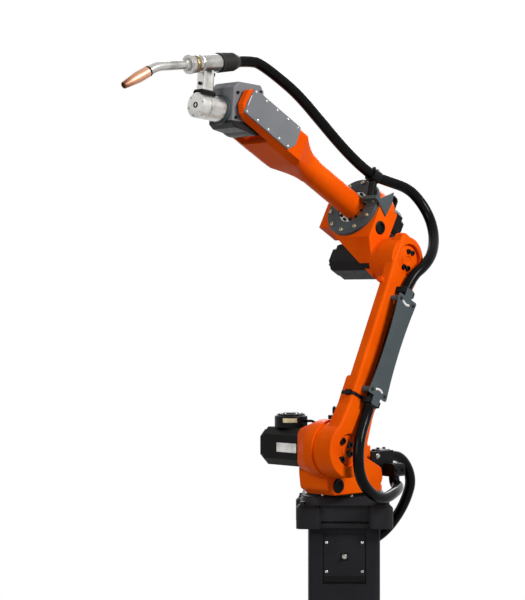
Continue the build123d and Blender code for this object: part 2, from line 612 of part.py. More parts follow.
def elbow_motor():
    motor = servo_motor(ELBOW_MOTOR_SIDE, MOTOR_BEVEL, ELBOW_MOTOR_LENGTH)
    return Pos(0, HUB_BACK_Y, 0) * Rot(0, 0, -90) * motor


def arm_ring():
    ring = rod_x(RING_RADIUS, RING_X, RING_X + RING_THICK)
    ring = chamfer(ring.faces().sort_by(Axis.X)[-1].edges(), RUN_GAP * 3)
    ring -= rod_x(TUBE_FLANGE_RADIUS + RUN_GAP, RING_X - PAST, RING_X + RING_THICK + PAST)
    return Pos(0, 0, ELBOW_OFFSET) * ring


def roll_motor():
    """The motors of the last three axes: a big one on top, two smaller below, on one round flange."""
    flange = rod_x(REAR_FLANGE_RADIUS, 0, REAR_FLANGE)
    big = Pos(0, 0, ROLL_MOTOR_RISE) * servo_motor(ROLL_MOTOR_SIDE, ROLL_MOTOR_BEVEL, ROLL_MOTOR_LENGTH)
    slim = servo_motor(SMALL_MOTOR_SIDE, SMALL_MOTOR_BEVEL, SMALL_MOTOR_LENGTH)
    small = [Pos(0, y, -SMALL_MOTOR_DROP) * slim for y in (-SMALL_MOTOR_Y, SMALL_MOTOR_Y)]
    top = ROLL_MOTOR_RISE + ROLL_MOTOR_SIDE / 2 + PLUG_HEIGHT
    plug = fillet(rod_z(PLUG_RADIUS, 0, top).faces().sort_by(Axis.Z)[-1].edges(), MOTOR_GROOVE_WIDTH)
    plugs = [Pos(PLUG_X, y, 0) * plug for y in (-PLUG_RADIUS - PAST, PLUG_RADIUS + PAST)]
    return Pos(ARM_REAR_X, 0, ELBOW_OFFSET) * Rot(0, 0, 180) * (flange + big + small + plugs)


def hose_bracket():
    front = RING_X + RING_THICK
    outer = ARM_SIDE_Y + BRACKET_SHEET
    flank = side_plate([(front + BRACKET_TAB_THICK, ELBOW_OFFSET + 14), (front - 42, ELBOW_OFFSET + 68),
                        (front - 50, ELBOW_OFFSET + 36), (front - 44, ELBOW_OFFSET - 12)], ARM_SIDE_Y, outer)
    tab = block(front, front + BRACKET_TAB, BRACKET_TAB_Y, outer,
                BRACKET_TAB_LOW, BRACKET_TAB_LOW + BRACKET_TAB_THICK)
    return flank + tab


def hose_post():
    line = Line(POST_FOOT, CLAMP_POINT)
    stem = sweep(Plane(line @ 0, z_dir=line % 0) * Circle(POST_RADIUS), path=line)
    to_elbow = ELBOW.inverse() * TURRET
    along = ROUTE_ELBOW[1] - ROUTE_ELBOW[0]
    across = Plane(ROUTE_ELBOW[0], z_dir=along)
    collar = extrude(across * Circle(COLLAR_RADIUS), COLLAR_LENGTH / 2, both=True)
    bore = extrude(across * Circle(HOSE_RADIUS + RUN_GAP), COLLAR_LENGTH, both=True)
    return stem + to_elbow * collar - to_elbow * bore - hose_bracket() - arm_ring()


# Forearm, in the forearm frame: X along the fourth axis
def flare_section(back, half_width, top, bottom, corner):
    """A rounded rectangle across the forearm, at a distance behind the fifth axis."""
    place = Plane((FOREARM_LENGTH - back, 0, (top + bottom) / 2), x_dir=(0, 1, 0), z_dir=(1, 0, 0))
    return place * RectangleRounded(2 * half_width, top - bottom, corner)


def forearm():
    flare_start = FOREARM_LENGTH - FLARE_START
    tube = rod_x(TUBE_RADIUS, RING_X + RUN_GAP + TUBE_FLANGE_THICK, flare_start + FLARE_RIM * 8)
    root = TUBE_RADIUS + FLARE_RIM
    spread = FLARE_START - FLARE_END
    grown = WRIST_HALF_WIDTH - TUBE_RADIUS
    flare = loft([
        flare_section(FLARE_START, root, root, -root, root - RUN_GAP),
        flare_section(FLARE_START - spread * 0.35, root + grown * 0.06, root + 1, -root - 2, root - 10),
        flare_section(FLARE_START - spread * 0.7, TUBE_RADIUS + grown * 0.5, WRIST_TOP - 2,
                      WRIST_BOTTOM + 3, WRIST_EDGE + 8),
        flare_section(FLARE_END, WRIST_HALF_WIDTH, WRIST_TOP, WRIST_BOTTOM, WRIST_EDGE)])
    rear = FOREARM_LENGTH - FLARE_END
    tip = FOREARM_LENGTH + FORK_REACH
    box = side_plate([(rear, WRIST_BOTTOM), (rear, WRIST_TOP), (tip - 24, WRIST_TOP),
                      (tip - 2, WRIST_TOP - 16), (tip, -16), (tip - 16, WRIST_BOTTOM + 12),
                      (tip - 48, WRIST_BOTTOM)], -WRIST_HALF_WIDTH, WRIST_HALF_WIDTH)
    box = fillet(box.edges().filter_by(Axis.X).group_by(Axis.Z)[-1], WRIST_EDGE)
    back = FOREARM_LENGTH - FORK_DEPTH
    gap = side_plate([(back, WRIST_TOP + PAST), (back, 0), (back + FORK_SLANT, WRIST_BOTTOM - PAST),
                      (tip + PAST, WRIST_BOTTOM - PAST), (tip + PAST, WRIST_TOP + PAST)],
                     -FORK_HALF_GAP, FORK_HALF_GAP)
    body = tube + flare + box - gap
    inner = WRIST_HALF_WIDTH - WRIST_BEVEL_WIDTH
    low = WRIST_BOTTOM
    reach = 2 * WRIST_BEVEL_WIDTH
    slope = WRIST_BEVEL_HEIGHT / WRIST_BEVEL_WIDTH
    for side in (-1, 1):
        wedge = [(side * inner, low), (side * (inner + reach), low + slope * reach),
                 (side * (inner + reach), low - reach), (side * inner, low - reach)]
        body -= front_plate(wedge, flare_start, tip + PAST)
    return body


def forearm_flange():
    return rod_x(TUBE_FLANGE_RADIUS, RING_X + RUN_GAP, RING_X + RUN_GAP + TUBE_FLANGE_THICK)


def wrist_plate(side):
    tip = FORK_REACH - 12
    top = WRIST_TOP - 3
    outline = [(tip - 213, top - 16), (tip - 209, top), (tip - 6, top), (tip, top - 39), (tip - 1, -36),
               (tip - 196, -37), (tip - 215, -12)]
    y0 = WRIST_HALF_WIDTH if side > 0 else -WRIST_HALF_WIDTH - PLATE_THICK
    plate = side_plate(outline, y0, y0 + PLATE_THICK, PLATE_CORNER)
    return Pos(FOREARM_LENGTH, 0, 0) * plate


# Wrist swivel, in the wrist frame: X along the sixth axis
def wrist_swivel():
    hub = rod_y(SWIVEL_RADIUS, -SWIVEL_HALF, SWIVEL_HALF)
    front = SWIVEL_FRONT
    hood = side_plate([(HOOD_BACK, 0), (HOOD_BACK, HOOD_TOP - 16), (HOOD_BACK + 14, HOOD_TOP),
                       (front - 18, HOOD_TOP - 2), (front, HOOD_TOP - 20), (front, -38),
                       (front - 16, -50), (20, -56)],
                      -SWIVEL_HALF, SWIVEL_HALF, SWIVEL_EDGE)
    hood = round_ends(hood, Axis.Y, SWIVEL_EDGE - PAST)
    trunnion = rod_y(TRUNNION_RADIUS, -FORK_HALF_GAP + RUN_GAP, FORK_HALF_GAP - RUN_GAP)
    return hub + hood + trunnion


def tool_flange():
    return rod_x(FLANGE_RADIUS, SWIVEL_FRONT + RUN_GAP, FLANGE_X)


def collision_sensor():
    outer = SENSOR_RADIUS
    groove_end = SENSOR_GROOVE_X + SENSOR_GROOVE_WIDTH
    return turned([(FLANGE_X, 0), (FLANGE_X, outer), (SENSOR_GROOVE_X, outer),
                   (SENSOR_GROOVE_X, outer - SENSOR_GROOVE), (groove_end, outer - SENSOR_GROOVE),
                   (groove_end, outer), (SENSOR_X - SENSOR_EDGE, outer), (SENSOR_X, outer - SENSOR_EDGE),
                   (SENSOR_X, 0)])


def torch_bracket_foot():
    half = BRACKET_FOOT_HALF
    foot = block(TORCH_X - BRACKET_FOOT_BACK, TORCH_X + BRACKET_FOOT_FRONT, -half, half,
                 0, SENSOR_RADIUS + BRACKET_FOOT_THICK)
    foot = chamfer(foot.faces().sort_by(Axis.Z)[-1].edges().filter_by(Axis.X), BRACKET_FOOT_THICK / 2)
    return foot - rod_x(SENSOR_RADIUS, FLANGE_X, SENSOR_X + PAST) - block(
        FLANGE_X, SENSOR_X, -SENSOR_RADIUS, SENSOR_RADIUS, -PAST, SENSOR_RADIUS / 2)


def torch_bracket():
    low = SENSOR_RADIUS + BRACKET_FOOT_THICK
    half = ARM_PLATE_HALF
    plates = [block(TORCH_X + x, TORCH_X + x + ARM_PLATE_THICK, -half, half, low, TORCH_RISE)
              for x in (FRONT_PLATE_X, BACK_PLATE_X)]
    tie = block(TORCH_X + BACK_PLATE_X, TORCH_X + FRONT_PLATE_X, -half, half, low, low + ARM_PLATE_THICK)
    body = Pos(TORCH_X, 0, TORCH_RISE) * Rot(0, TORCH_TILT, 0) * rod_x(BODY_RADIUS, BODY_BACK, BODY_FRONT)
    return tie + plates - body


# Torch, along its own axis
def torch_body():
    big = BODY_RADIUS
    return turned([(BODY_BACK, 0), (BODY_BACK, big), (16, big), (18, big - 4), (24, big - 4), (26, big - 2),
                   (44, big - 2), (46, big - 5), (50, big - 5), (52, big), (60, big), (BODY_FRONT, big - 4),
                   (BODY_FRONT, 0)])


def torch_boot():
    return turned([(BODY_BACK, 0), (BODY_BACK, BOOT_RADIUS), (BOOT_STEP, BOOT_RADIUS - 2),
                   (BOOT_STEP - 8, BOOT_MOUTH + 4), (BOOT_BACK, BOOT_MOUTH), (BOOT_BACK, 0)])


def neck_path():
    corner = BODY_FRONT + NECK_STRAIGHT
    slope = radians(NECK_BEND)
    end = (corner + NECK_END * cos(slope), 0, -NECK_END * sin(slope))
    return FilletPolyline((BODY_FRONT, 0, 0), (corner, 0, 0), end, radius=NECK_BEND_RADIUS)


def torch_neck():
    path = neck_path()
    return sweep(Plane(path @ 0, z_dir=path % 0) * Circle(NECK_RADIUS), path=path)


def torch_nozzle():
    path = neck_path()
    place = Plane(path @ 1, x_dir=path % 1, z_dir=Vector(path % 1).cross(Vector(0, 1, 0)))
    bore_end = NOZZLE_LENGTH - NOZZLE_BORE_DEPTH
    cone = turned([(0, 0), (0, NOZZLE_BACK_RADIUS), (NOZZLE_STRAIGHT, NOZZLE_BACK_RADIUS),
                   (NOZZLE_LENGTH, NOZZLE_TIP_RADIUS), (NOZZLE_LENGTH, NOZZLE_BORE), (bore_end, NOZZLE_BORE),
                   (bore_end, 0)])
    return place.location * cone


def save(node, solid, place=ROW):
    """One STEP file, placed in the row frame."""
    export_step(place * solid, f"parts/{node}.step")


os.makedirs("parts", exist_ok=True)
save("pedestal_foot_plate", foot_plate())
save("pedestal_column", pedestal_column())
save("pedestal_cover_panel", pedestal_cover_panel())
save("pedestal_top_plate", pedestal_top_plate())
save("base_frame", base_frame())
save("base_bearing_ring", base_bearing_ring())
save("pedestal_hose_gland", pedestal_hose_gland())
save("turning_column", turning_column(), TURRET)
save("shoulder_motor", shoulder_motor(), TURRET)
save("shoulder_motor_connector", shoulder_motor_connector(), TURRET)
save("turn_motor", turn_motor(), TURRET)
save("rear_hose_bracket", rear_hose_bracket(), TURRET)
save("high_hose_clamp", hose_clamp(HIGH_CLAMP_X, HIGH_HOSE_Y - CLAMP_WIDTH / 2, HIGH_CLAMP_Z), TURRET)
save("low_hose_clamp", hose_clamp(LOW_CLAMP_X, BRACKET_Y, LOW_CLAMP_Z), TURRET)
save("link_arm", link_arm(), LINK)
save("hose_cover_plate", hose_cover_plate(), LINK)
save("arm_housing", arm_housing(), ELBOW)
save("elbow_motor", elbow_motor(), ELBOW)
save("arm_ring", arm_ring(), ELBOW)
save("roll_motor", roll_motor(), ELBOW)
save("hose_bracket", hose_bracket(), ELBOW)
save("hose_post", hose_post(), ELBOW)
save("forearm", forearm(), FOREARM)
save("forearm_flange", forearm_flange(), FOREARM)
save("wrist_plate_left", wrist_plate(1), FOREARM)
save("wrist_plate_right", wrist_plate(-1), FOREARM)
save("wrist_swivel", wrist_swivel(), WRIST)
save("tool_flange", tool_flange(), WRIST)
save("collision_sensor", collision_sensor(), WRIST)
save("torch_bracket_foot", torch_bracket_foot(), WRIST)
save("torch_bracket", torch_bracket(), WRIST)
save("torch_body", torch_body(), TORCH)
save("torch_boot", torch_boot(), TORCH)
save("torch_neck", torch_neck(), TORCH)
save("torch_nozzle", torch_nozzle(), TORCH)
save("hose_at_torch", hose(ROUTE_TOOL), TURRET)
save("hose_over_wrist", hose(ROUTE_WRIST), TURRET)
save("hose_over_forearm", hose(ROUTE_FOREARM), TURRET)
save("hose_round_elbow", hose(ROUTE_ELBOW), TURRET)
save("hose_under_cover", cover_hose(), LINK)
save("hose_round_shoulder", hose(ROUTE_SHOULDER), TURRET)
save("hose_to_pedestal", hose(ROUTE_BASE), TURRET)
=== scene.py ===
# %% [markdown]
# # A welding robot on its pedestal
# The imported CAD model comes in first and stays as it is. Every later cell adds a finish or a small piece to it,
# in metres, in the same frame: +Z up, the floor at 0, the first axis through the origin.

# %% Load the frame
import bmesh
import bpy
import numpy as np
from mathutils import Matrix, Vector


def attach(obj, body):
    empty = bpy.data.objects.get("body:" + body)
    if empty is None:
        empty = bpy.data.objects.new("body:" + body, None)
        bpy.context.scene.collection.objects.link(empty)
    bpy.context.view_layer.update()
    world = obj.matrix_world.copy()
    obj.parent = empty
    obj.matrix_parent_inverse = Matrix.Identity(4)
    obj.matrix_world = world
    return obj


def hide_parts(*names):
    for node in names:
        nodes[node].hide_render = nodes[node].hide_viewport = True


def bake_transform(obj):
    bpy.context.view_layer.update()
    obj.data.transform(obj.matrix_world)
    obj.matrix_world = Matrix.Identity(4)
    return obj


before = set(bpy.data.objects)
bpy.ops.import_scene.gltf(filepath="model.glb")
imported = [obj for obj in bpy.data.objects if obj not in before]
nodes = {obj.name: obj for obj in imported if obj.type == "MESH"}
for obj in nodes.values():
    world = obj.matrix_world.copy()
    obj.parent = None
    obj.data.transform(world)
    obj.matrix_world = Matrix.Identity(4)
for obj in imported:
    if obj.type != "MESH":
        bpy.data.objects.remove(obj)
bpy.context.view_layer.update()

# %% [markdown]
# ## Camera
# The picture was taken with a long lens from about five and a half metres, level with the elbow. A long lens keeps
# the forearm from swelling towards the viewer. Where the camera stood was fitted to the joints of the arm, so it
# is written here as a place and a direction.

# %% Camera at the picture's place
CAMERA_PLACE = Vector((5.6381, -0.15683, 1.1644))
CAMERA_LOOK = Vector((-0.99989, -0.014834, 0.0))
camera_data = bpy.data.cameras.new("camera")
camera_data.lens = 113.8
camera_data.sensor_width = 36.0
camera = bpy.data.objects.new("camera", camera_data)
camera.matrix_world = Matrix.Translation(CAMERA_PLACE) @ CAMERA_LOOK.to_track_quat("-Z", "Y").to_matrix().to_4x4()
bpy.context.scene.collection.objects.link(camera)
bpy.context.scene.camera = camera
bpy.context.scene.view_settings.view_transform = "Standard"
print("camera", [round(c, 3) for c in CAMERA_PLACE], "lens", camera_data.lens)

# %% [markdown]
# ## Frames of the moving bodies
# Each casting is easiest to think about along its own axis: the link along its length, the forearm along its tube.
# A frame is a 4 by 4 matrix in millimetres that carries such local points to the row frame, and the chain below
# repeats the rest angles of the CAD model. Pieces are then placed by the numbers of the part that carries them.

# %% Frames
MM = 0.001


def shift(x, y, z):
    """A move by (x, y, z)."""
    matrix = np.eye(4)
    matrix[:3, 3] = (x, y, z)
    return matrix


def turn_y(degrees):
    """A turn about Y: x' = x cos a + z sin a, z' = z cos a - x sin a."""
    c, s = np.cos(np.radians(degrees)), np.sin(np.radians(degrees))
    return np.array([[c, 0, s, 0], [0, 1, 0, 0], [-s, 0, c, 0], [0, 0, 0, 1]])


def turn_z(degrees):
    """A turn about Z: x' = x cos a - y sin a, y' = x sin a + y cos a."""
    c, s = np.cos(np.radians(degrees)), np.sin(np.radians(degrees))
    return np.array([[c, -s, 0, 0], [s, c, 0, 0], [0, 0, 1, 0], [0, 0, 0, 1]])


def in_row(place, points):
    """Local millimetres of a frame to metres of the row frame."""
    return (np.asarray(points, float) @ place[:3, :3].T + place[:3, 3]) * MM


ROW = np.eye(4)
TURRET = turn_z(-45)
SHOULDER = TURRET @ shift(180, 0, 739)
LINK = SHOULDER @ turn_y(-25.3)
ELBOW = LINK @ shift(0, 0, 600) @ turn_y(25.3 - 28.5)
FOREARM = ELBOW @ shift(0, 0, 125)
WRIST_SEAT = FOREARM @ shift(620, 0, 0)
WRIST = WRIST_SEAT @ turn_y(28.5 - 4.6)
TORCH = WRIST @ shift(159, 0, 119) @ turn_y(12)
print("torch axis starts at", np.round(in_row(TORCH, (0, 0, 0)), 3))

# %% [markdown]
# ## Adding nodes
# A material is a small graph. One function feeds a node's inputs: a socket is linked, a node stands for its first
# output, and anything else is written on the input itself. Colours are written as sRGB hex, as a paint card or a
# picture gives them, and turned to the linear values that the shader works in.

# %% Node helper and colours
def feed(tree, node, inputs):
    """Links or writes a node's inputs, given as {input: value}."""
    for key, value in inputs.items():
        if isinstance(value, bpy.types.Node):
            value = value.outputs[0]
        if isinstance(value, bpy.types.NodeSocket):
            tree.links.new(value, node.inputs[key])
        else:
            node.inputs[key].default_value = value


def add_node(tree, kind, inputs=None, **settings):
    """Adds a node, sets its settings and feeds its inputs."""
    made = tree.nodes.new(kind)
    for key, value in settings.items():
        setattr(made, key, value)
    feed(tree, made, inputs or {})
    return made


def linear(code):
    """sRGB hex to linear RGBA: c / 12.92 below 0.04045, else ((c + 0.055) / 1.055) to the power 2.4."""
    srgb = np.array([int(code[i:i + 2], 16) for i in (1, 3, 5)]) / 255
    rgb = np.where(srgb <= 0.04045, srgb / 12.92, ((srgb + 0.055) / 1.055) ** 2.4)
    return (*rgb.tolist(), 1.0)


def per_mm(millimetres):
    """The texture scale at which one feature is about that wide, on coordinates in metres."""
    return 1.0 / (millimetres * MM)


def new_material(name):
    """An empty node material, its shader, joined to the output, and the socket that says where a point lies."""
    finish = bpy.data.materials.new(name)
    finish.use_nodes = True
    tree = finish.node_tree
    tree.nodes.clear()
    shader = add_node(tree, "ShaderNodeBsdfPrincipled")
    add_node(tree, "ShaderNodeOutputMaterial", {"Surface": shader})
    return finish, tree, shader, add_node(tree, "ShaderNodeTexCoord").outputs["Object"]


def reach_along(tree, where, place, axis, start=0.0):
    """How far a point lies along an axis (0, 1 or 2) of a frame, past start mm, in metres: (P - origin) . axis."""
    origin = in_row(place, start * np.eye(3)[axis])
    reach = add_node(tree, "ShaderNodeVectorMath", {0: where, 1: tuple(origin)}, operation="SUBTRACT")
    return add_node(tree, "ShaderNodeVectorMath", {0: reach, 1: tuple(place[:3, axis])},
                    operation="DOT_PRODUCT").outputs["Value"]


print("orange in linear light:", [round(c, 3) for c in linear("#F46004")])

# %% [markdown]
# ## Painted metal
# Castings and sheet parts are spray painted. Paint could be one flat colour, but a real coat has three things the
# eye reads at once: it pools and thins a little over the width of a hand, it dries with a fine orange-peel
# texture, and it goes thin and gets rubbed along edges. On the orange the rubbed colour is paler than the coat, so
# its edge nicks are also a painted highlight of the glossy edges. The Bevel shader node rounds the sharp CAD edges
# in the shading only, and how far its normal leans away from the face tells where an edge is, so the rub marks
# follow it.

# %% Painted metal
RUB_AND_GLINT_START, RUB_AND_GLINT_FULL = 0.985, 0.90
# Widths in mm of the paint's clouds, of its grime, of the nicks on its edges (on the orange also a painted
# highlight) and of its orange peel.
CLOUD, GRIME, NICK_AND_GLINT, PEEL = 140.0, 22.0, 5.0, 2.6
BELLY_BLUR = 0.3


def painted(name, coat, thin, rubbed_and_glint, gloss, peel, edge=2.0, level=0.5, belly=None):
    """Sprayed paint: coat and thin are its two tones, the rubbed colour shows on edges as worn paint and, where
    it is paler than the coat, as a painted highlight, gloss is the roughness range, peel the depth of the orange
    peel in mm, edge the rounding of sharp edges in mm. A belly is (frame, height, colour): below that height in
    that frame the coat has the other colour."""
    finish, tree, shader, where = new_material(name)
    cloud = add_node(tree, "ShaderNodeTexNoise", {"Vector": where, "Scale": per_mm(CLOUD), "Detail": 4.0})
    grime = add_node(tree, "ShaderNodeTexNoise", {
        "Vector": where, "Scale": per_mm(GRIME), "Detail": 6.0, "Roughness": 0.65})
    nicks_and_glints = add_node(tree, "ShaderNodeTexNoise", {"Vector": where, "Scale": per_mm(NICK_AND_GLINT), "Detail": 5.0})
    round_edge = add_node(tree, "ShaderNodeBevel", {"Radius": edge * MM}, samples=4)
    flat = add_node(tree, "ShaderNodeNewGeometry")
    lean = add_node(tree, "ShaderNodeVectorMath", {0: round_edge, 1: flat.outputs["Normal"]},
                    operation="DOT_PRODUCT")
    on_edge = add_node(tree, "ShaderNodeMapRange", {
        "Value": lean.outputs["Value"], "From Min": RUB_AND_GLINT_START, "From Max": RUB_AND_GLINT_FULL})
    bare_and_glint_spots = add_node(tree, "ShaderNodeMapRange", {
        "Value": nicks_and_glints, "From Min": 0.52, "From Max": 0.66, "To Max": 0.75})
    # Edge nicks in the rubbed colour: worn paint, and on the orange also a painted highlight of its glossy edges.
    rub_and_glint = add_node(tree, "ShaderNodeMath", {0: on_edge, 1: bare_and_glint_spots}, operation="MULTIPLY")
    spread = add_node(tree, "ShaderNodeMapRange", {"Value": cloud, "From Min": 0.35, "From Max": 0.68})
    tone = add_node(tree, "ShaderNodeMix", {0: spread, 6: linear(coat), 7: linear(thin)}, data_type="RGBA")
    worn_and_glint = add_node(tree, "ShaderNodeMix", {0: rub_and_glint, 6: tone.outputs[2], 7: linear(rubbed_and_glint)}, data_type="RGBA")
    colour = worn_and_glint.outputs[2]
    if belly:
        place, height, below = belly
        rise = reach_along(tree, where, place, 2, height)
        over = add_node(tree, "ShaderNodeMapRange", {
            "Value": rise, "From Min": -BELLY_BLUR * MM, "From Max": BELLY_BLUR * MM})
        colour = add_node(tree, "ShaderNodeMix", {0: over, 6: linear(below), 7: colour},
                          data_type="RGBA").outputs[2]
    shine = add_node(tree, "ShaderNodeMapRange", {
        "Value": grime, "From Min": 0.3, "From Max": 0.7, "To Min": gloss[0], "To Max": gloss[1]})
    skin = add_node(tree, "ShaderNodeTexNoise", {"Vector": where, "Scale": per_mm(PEEL), "Detail": 2.0})
    relief = add_node(tree, "ShaderNodeBump", {
        "Height": skin, "Strength": 0.35, "Distance": peel * MM, "Normal": round_edge})
    feed(tree, shader, {"Base Color": colour, "Roughness": shine, "Normal": relief, "IOR": 1.5,
                        "Specular IOR Level": level})
    return finish


# Two-pack enamel on cast aluminium: a wet, saturated orange with a soft gloss. Its paler edge nicks are partly
# wear and partly a painted highlight of the glossy edges.
ORANGE = painted("orange_two_pack_enamel_on_casting", "#F46004", "#E84F02", "#F9985A", (0.28, 0.44), 0.5,
                 edge=2.5, level=0.03)
# Powder coat on welded steel: nearly black with a blue-grey cast, satin.
ANTHRACITE = painted("anthracite_powder_coat", "#26262A", "#1D1D21", "#55555A", (0.42, 0.58), 0.7, edge=1.5,
                     level=0.08)
# The same colour brushed over a rough iron casting.
BASE_PAINT = painted("anthracite_paint_on_iron_casting", "#272629", "#1C1B1D", "#504C48", (0.40, 0.58), 1.4,
                     edge=3.0, level=0.1)
# Sheet covers and flanges: a flat dark grey.
DARK_GREY = painted("dark_grey_satin_paint", "#4B5356", "#424A4D", "#868A8B", (0.40, 0.55), 0.4, edge=1.0,
                    level=0.15)
# Satin paint on the wrist's plates: an even mid grey that shows its edges as pale lines.
WRIST_GREY = painted("mid_grey_satin_paint", "#7E8084", "#737579", "#B4B5B6", (0.36, 0.50), 0.4, edge=1.0,
                     level=0.2)
# The swivel is the same grey on top and masked off and sprayed black below its lower screws.
SWIVEL_GREY = painted("mid_grey_satin_paint_with_black_belly", "#7E8084", "#737579", "#B4B5B6", (0.36, 0.50), 0.4,
                      edge=1.0, level=0.2, belly=(WRIST, -31.0, "#12100F"))
# Satin lacquer on motor housings: a warm black, with only a faint sheen on its flats.
MOTOR_BLACK = painted("black_satin_motor_paint", "#1B1918", "#110F0E", "#3E3C3A", (0.32, 0.48), 0.5, edge=2.0,
                      level=0.07)
# Matt, slightly creamy white: marking paint for the arm's zero mark, and the painted highlights on the hose
# cover's arcs and the wrist plate's crescent.
WHITE_MARK_AND_HIGHLIGHT = painted("white_marking_paint", "#E9E8E4", "#DDDCD6", "#B9B7B0", (0.45, 0.6), 0.2, edge=0.5)
print("paints:", [m.name for m in bpy.data.materials if "paint" in m.name or "coat" in m.name])

# %% [markdown]
# ## Bare metal
# Turned and milled metal keeps the marks of its making: a fine grain, a few darker stains, softened edges. A
# metal's colour is its reflection, so the base colour is that of the metal itself, and the grain goes into the
# roughness and a very shallow bump. Tool marks are finer than the picture shows, so the grain is 1.5 mm wide.

# %% Bare metal
METAL_GRAIN, METAL_DEPTH = 1.5, 0.1


def bare_metal(name, clean, stained, gloss, stain=45.0, edge=0.8):
    """Metal with a fine grain: clean and stained are its two tones, gloss the roughness range, stain the width of
    a stain and edge the rounding of sharp edges in mm."""
    finish, tree, shader, where = new_material(name)
    grain = add_node(tree, "ShaderNodeTexNoise", {"Vector": where, "Scale": per_mm(METAL_GRAIN), "Detail": 3.0})
    spots = add_node(tree, "ShaderNodeTexNoise", {
        "Vector": where, "Scale": per_mm(stain), "Detail": 5.0, "Roughness": 0.6})
    dirty = add_node(tree, "ShaderNodeMapRange", {"Value": spots, "From Min": 0.45, "From Max": 0.75})
    tone = add_node(tree, "ShaderNodeMix", {0: dirty, 6: linear(clean), 7: linear(stained)}, data_type="RGBA")
    shine = add_node(tree, "ShaderNodeMapRange", {
        "Value": grain, "From Min": 0.3, "From Max": 0.7, "To Min": gloss[0], "To Max": gloss[1]})
    round_edge = add_node(tree, "ShaderNodeBevel", {"Radius": edge * MM}, samples=4)
    relief = add_node(tree, "ShaderNodeBump", {
        "Height": grain, "Strength": 0.2, "Distance": METAL_DEPTH * MM, "Normal": round_edge})
    feed(tree, shader, {"Base Color": tone.outputs[2], "Roughness": shine, "Normal": relief, "Metallic": 1.0})
    return finish


# Turned steel: cool grey, which catches the lamps as soft bands.
STEEL = bare_metal("turned_bright_steel", "#B9B8B4", "#82807C", (0.20, 0.30))
# Machined aluminium: paler and a little softer than steel.
ALUMINIUM = bare_metal("machined_aluminium", "#CDCCC8", "#A3A19C", (0.24, 0.36))
# Black-oxide steel of socket screws: a dark metal, not a paint.
BLACK_OXIDE = bare_metal("black_oxide_steel", "#2B2A2A", "#1B1A1A", (0.30, 0.48), stain=12.0, edge=0.5)
# Yellow-passivated zinc: pale brass with a dull bloom.
ZINC = bare_metal("yellow_passivated_zinc", "#B7AA8A", "#7F735A", (0.34, 0.52), stain=10.0, edge=0.5)
# Machined brass that has been handled: brown and dull, bright only in spots.
BRASS = bare_metal("machined_brass", "#8C7A55", "#3E3424", (0.26, 0.42), stain=6.0)
print("metals:", [m.name for m in (STEEL, ALUMINIUM, BLACK_OXIDE, ZINC, BRASS)])

# %% [markdown]
# ## Copper with heat stains
# A gas nozzle is drawn copper that has been close to the arc. It is clean and pink where it is screwed on and
# brown to soot-black at the mouth. The stain could be painted by hand, but distance along the torch axis already
# says how hot each place got, so that distance, taken from the Object coordinate, drives the colour ramp, and
# noise breaks up its edge.

# %% Copper
NOZZLE_HEAT_START, NOZZLE_HEAT_END = 215.0, 325.0
SOOT, SOOT_SPREAD = 7.0, 30.0


def stained_copper():
    """Copper whose colour and roughness follow the distance along the torch axis."""
    finish, tree, shader, where = new_material("drawn_copper_heat_stained")
    axis = reach_along(tree, where, TORCH, 0)
    soot = add_node(tree, "ShaderNodeTexNoise", {"Vector": where, "Scale": per_mm(SOOT), "Detail": 5.0})
    ragged = add_node(tree, "ShaderNodeMath", {0: soot, 1: SOOT_SPREAD * MM, 2: axis}, operation="MULTIPLY_ADD")
    heat = add_node(tree, "ShaderNodeMapRange", {
        "Value": ragged, "From Min": NOZZLE_HEAT_START * MM, "From Max": NOZZLE_HEAT_END * MM})
    ramp = add_node(tree, "ShaderNodeValToRGB", {"Fac": heat})
    steps = ramp.color_ramp.elements
    steps[0].position, steps[0].color = 0.0, linear("#D8A98E")
    steps[1].position, steps[1].color = 1.0, linear("#4A2B22")
    middle = steps.new(0.62)
    middle.color = linear("#C48E72")
    shine = add_node(tree, "ShaderNodeMapRange", {"Value": heat, "To Min": 0.26, "To Max": 0.58})
    grain = add_node(tree, "ShaderNodeBump", {"Height": soot, "Strength": 0.25, "Distance": 0.2 * MM})
    feed(tree, shader, {"Base Color": ramp, "Roughness": shine, "Normal": grain, "Metallic": 1.0})
    return finish


# Drawn copper: pink and glossy at the root, brown and dull towards the mouth.
COPPER = stained_copper()
print("copper stains from", NOZZLE_HEAT_START, "to", NOZZLE_HEAT_END, "mm along the torch")

# %% [markdown]
# ## Rubber and plastic
# The hose sleeve is extruded, so it is smooth and shows long soft highlights; the boot and the clamps are moulded
# in a sparked tool, so they are matt with a fine grain. Both are dielectrics: the colour is almost black and what
# the eye sees is the reflection, which dust breaks up.

# %% Rubber and plastic
DUST = 35.0


def moulded(name, body, dusty, gloss, grain, depth, level):
    """Black polymer: dusty shows in clouds, grain and depth are the moulded texture's width and height in mm."""
    finish, tree, shader, where = new_material(name)
    dust = add_node(tree, "ShaderNodeTexNoise", {
        "Vector": where, "Scale": per_mm(DUST), "Detail": 6.0, "Roughness": 0.7})
    settled = add_node(tree, "ShaderNodeMapRange", {"Value": dust, "From Min": 0.45, "From Max": 0.8})
    tone = add_node(tree, "ShaderNodeMix", {0: settled, 6: linear(body), 7: linear(dusty)}, data_type="RGBA")
    shine = add_node(tree, "ShaderNodeMapRange", {"Value": settled, "To Min": gloss[0], "To Max": gloss[1]})
    spark = add_node(tree, "ShaderNodeTexNoise", {"Vector": where, "Scale": per_mm(grain), "Detail": 2.0})
    relief = add_node(tree, "ShaderNodeBump", {"Height": spark, "Strength": 0.4, "Distance": depth * MM})
    feed(tree, shader, {"Base Color": tone.outputs[2], "Roughness": shine, "Normal": relief, "IOR": 1.5,
                        "Specular IOR Level": level})
    return finish


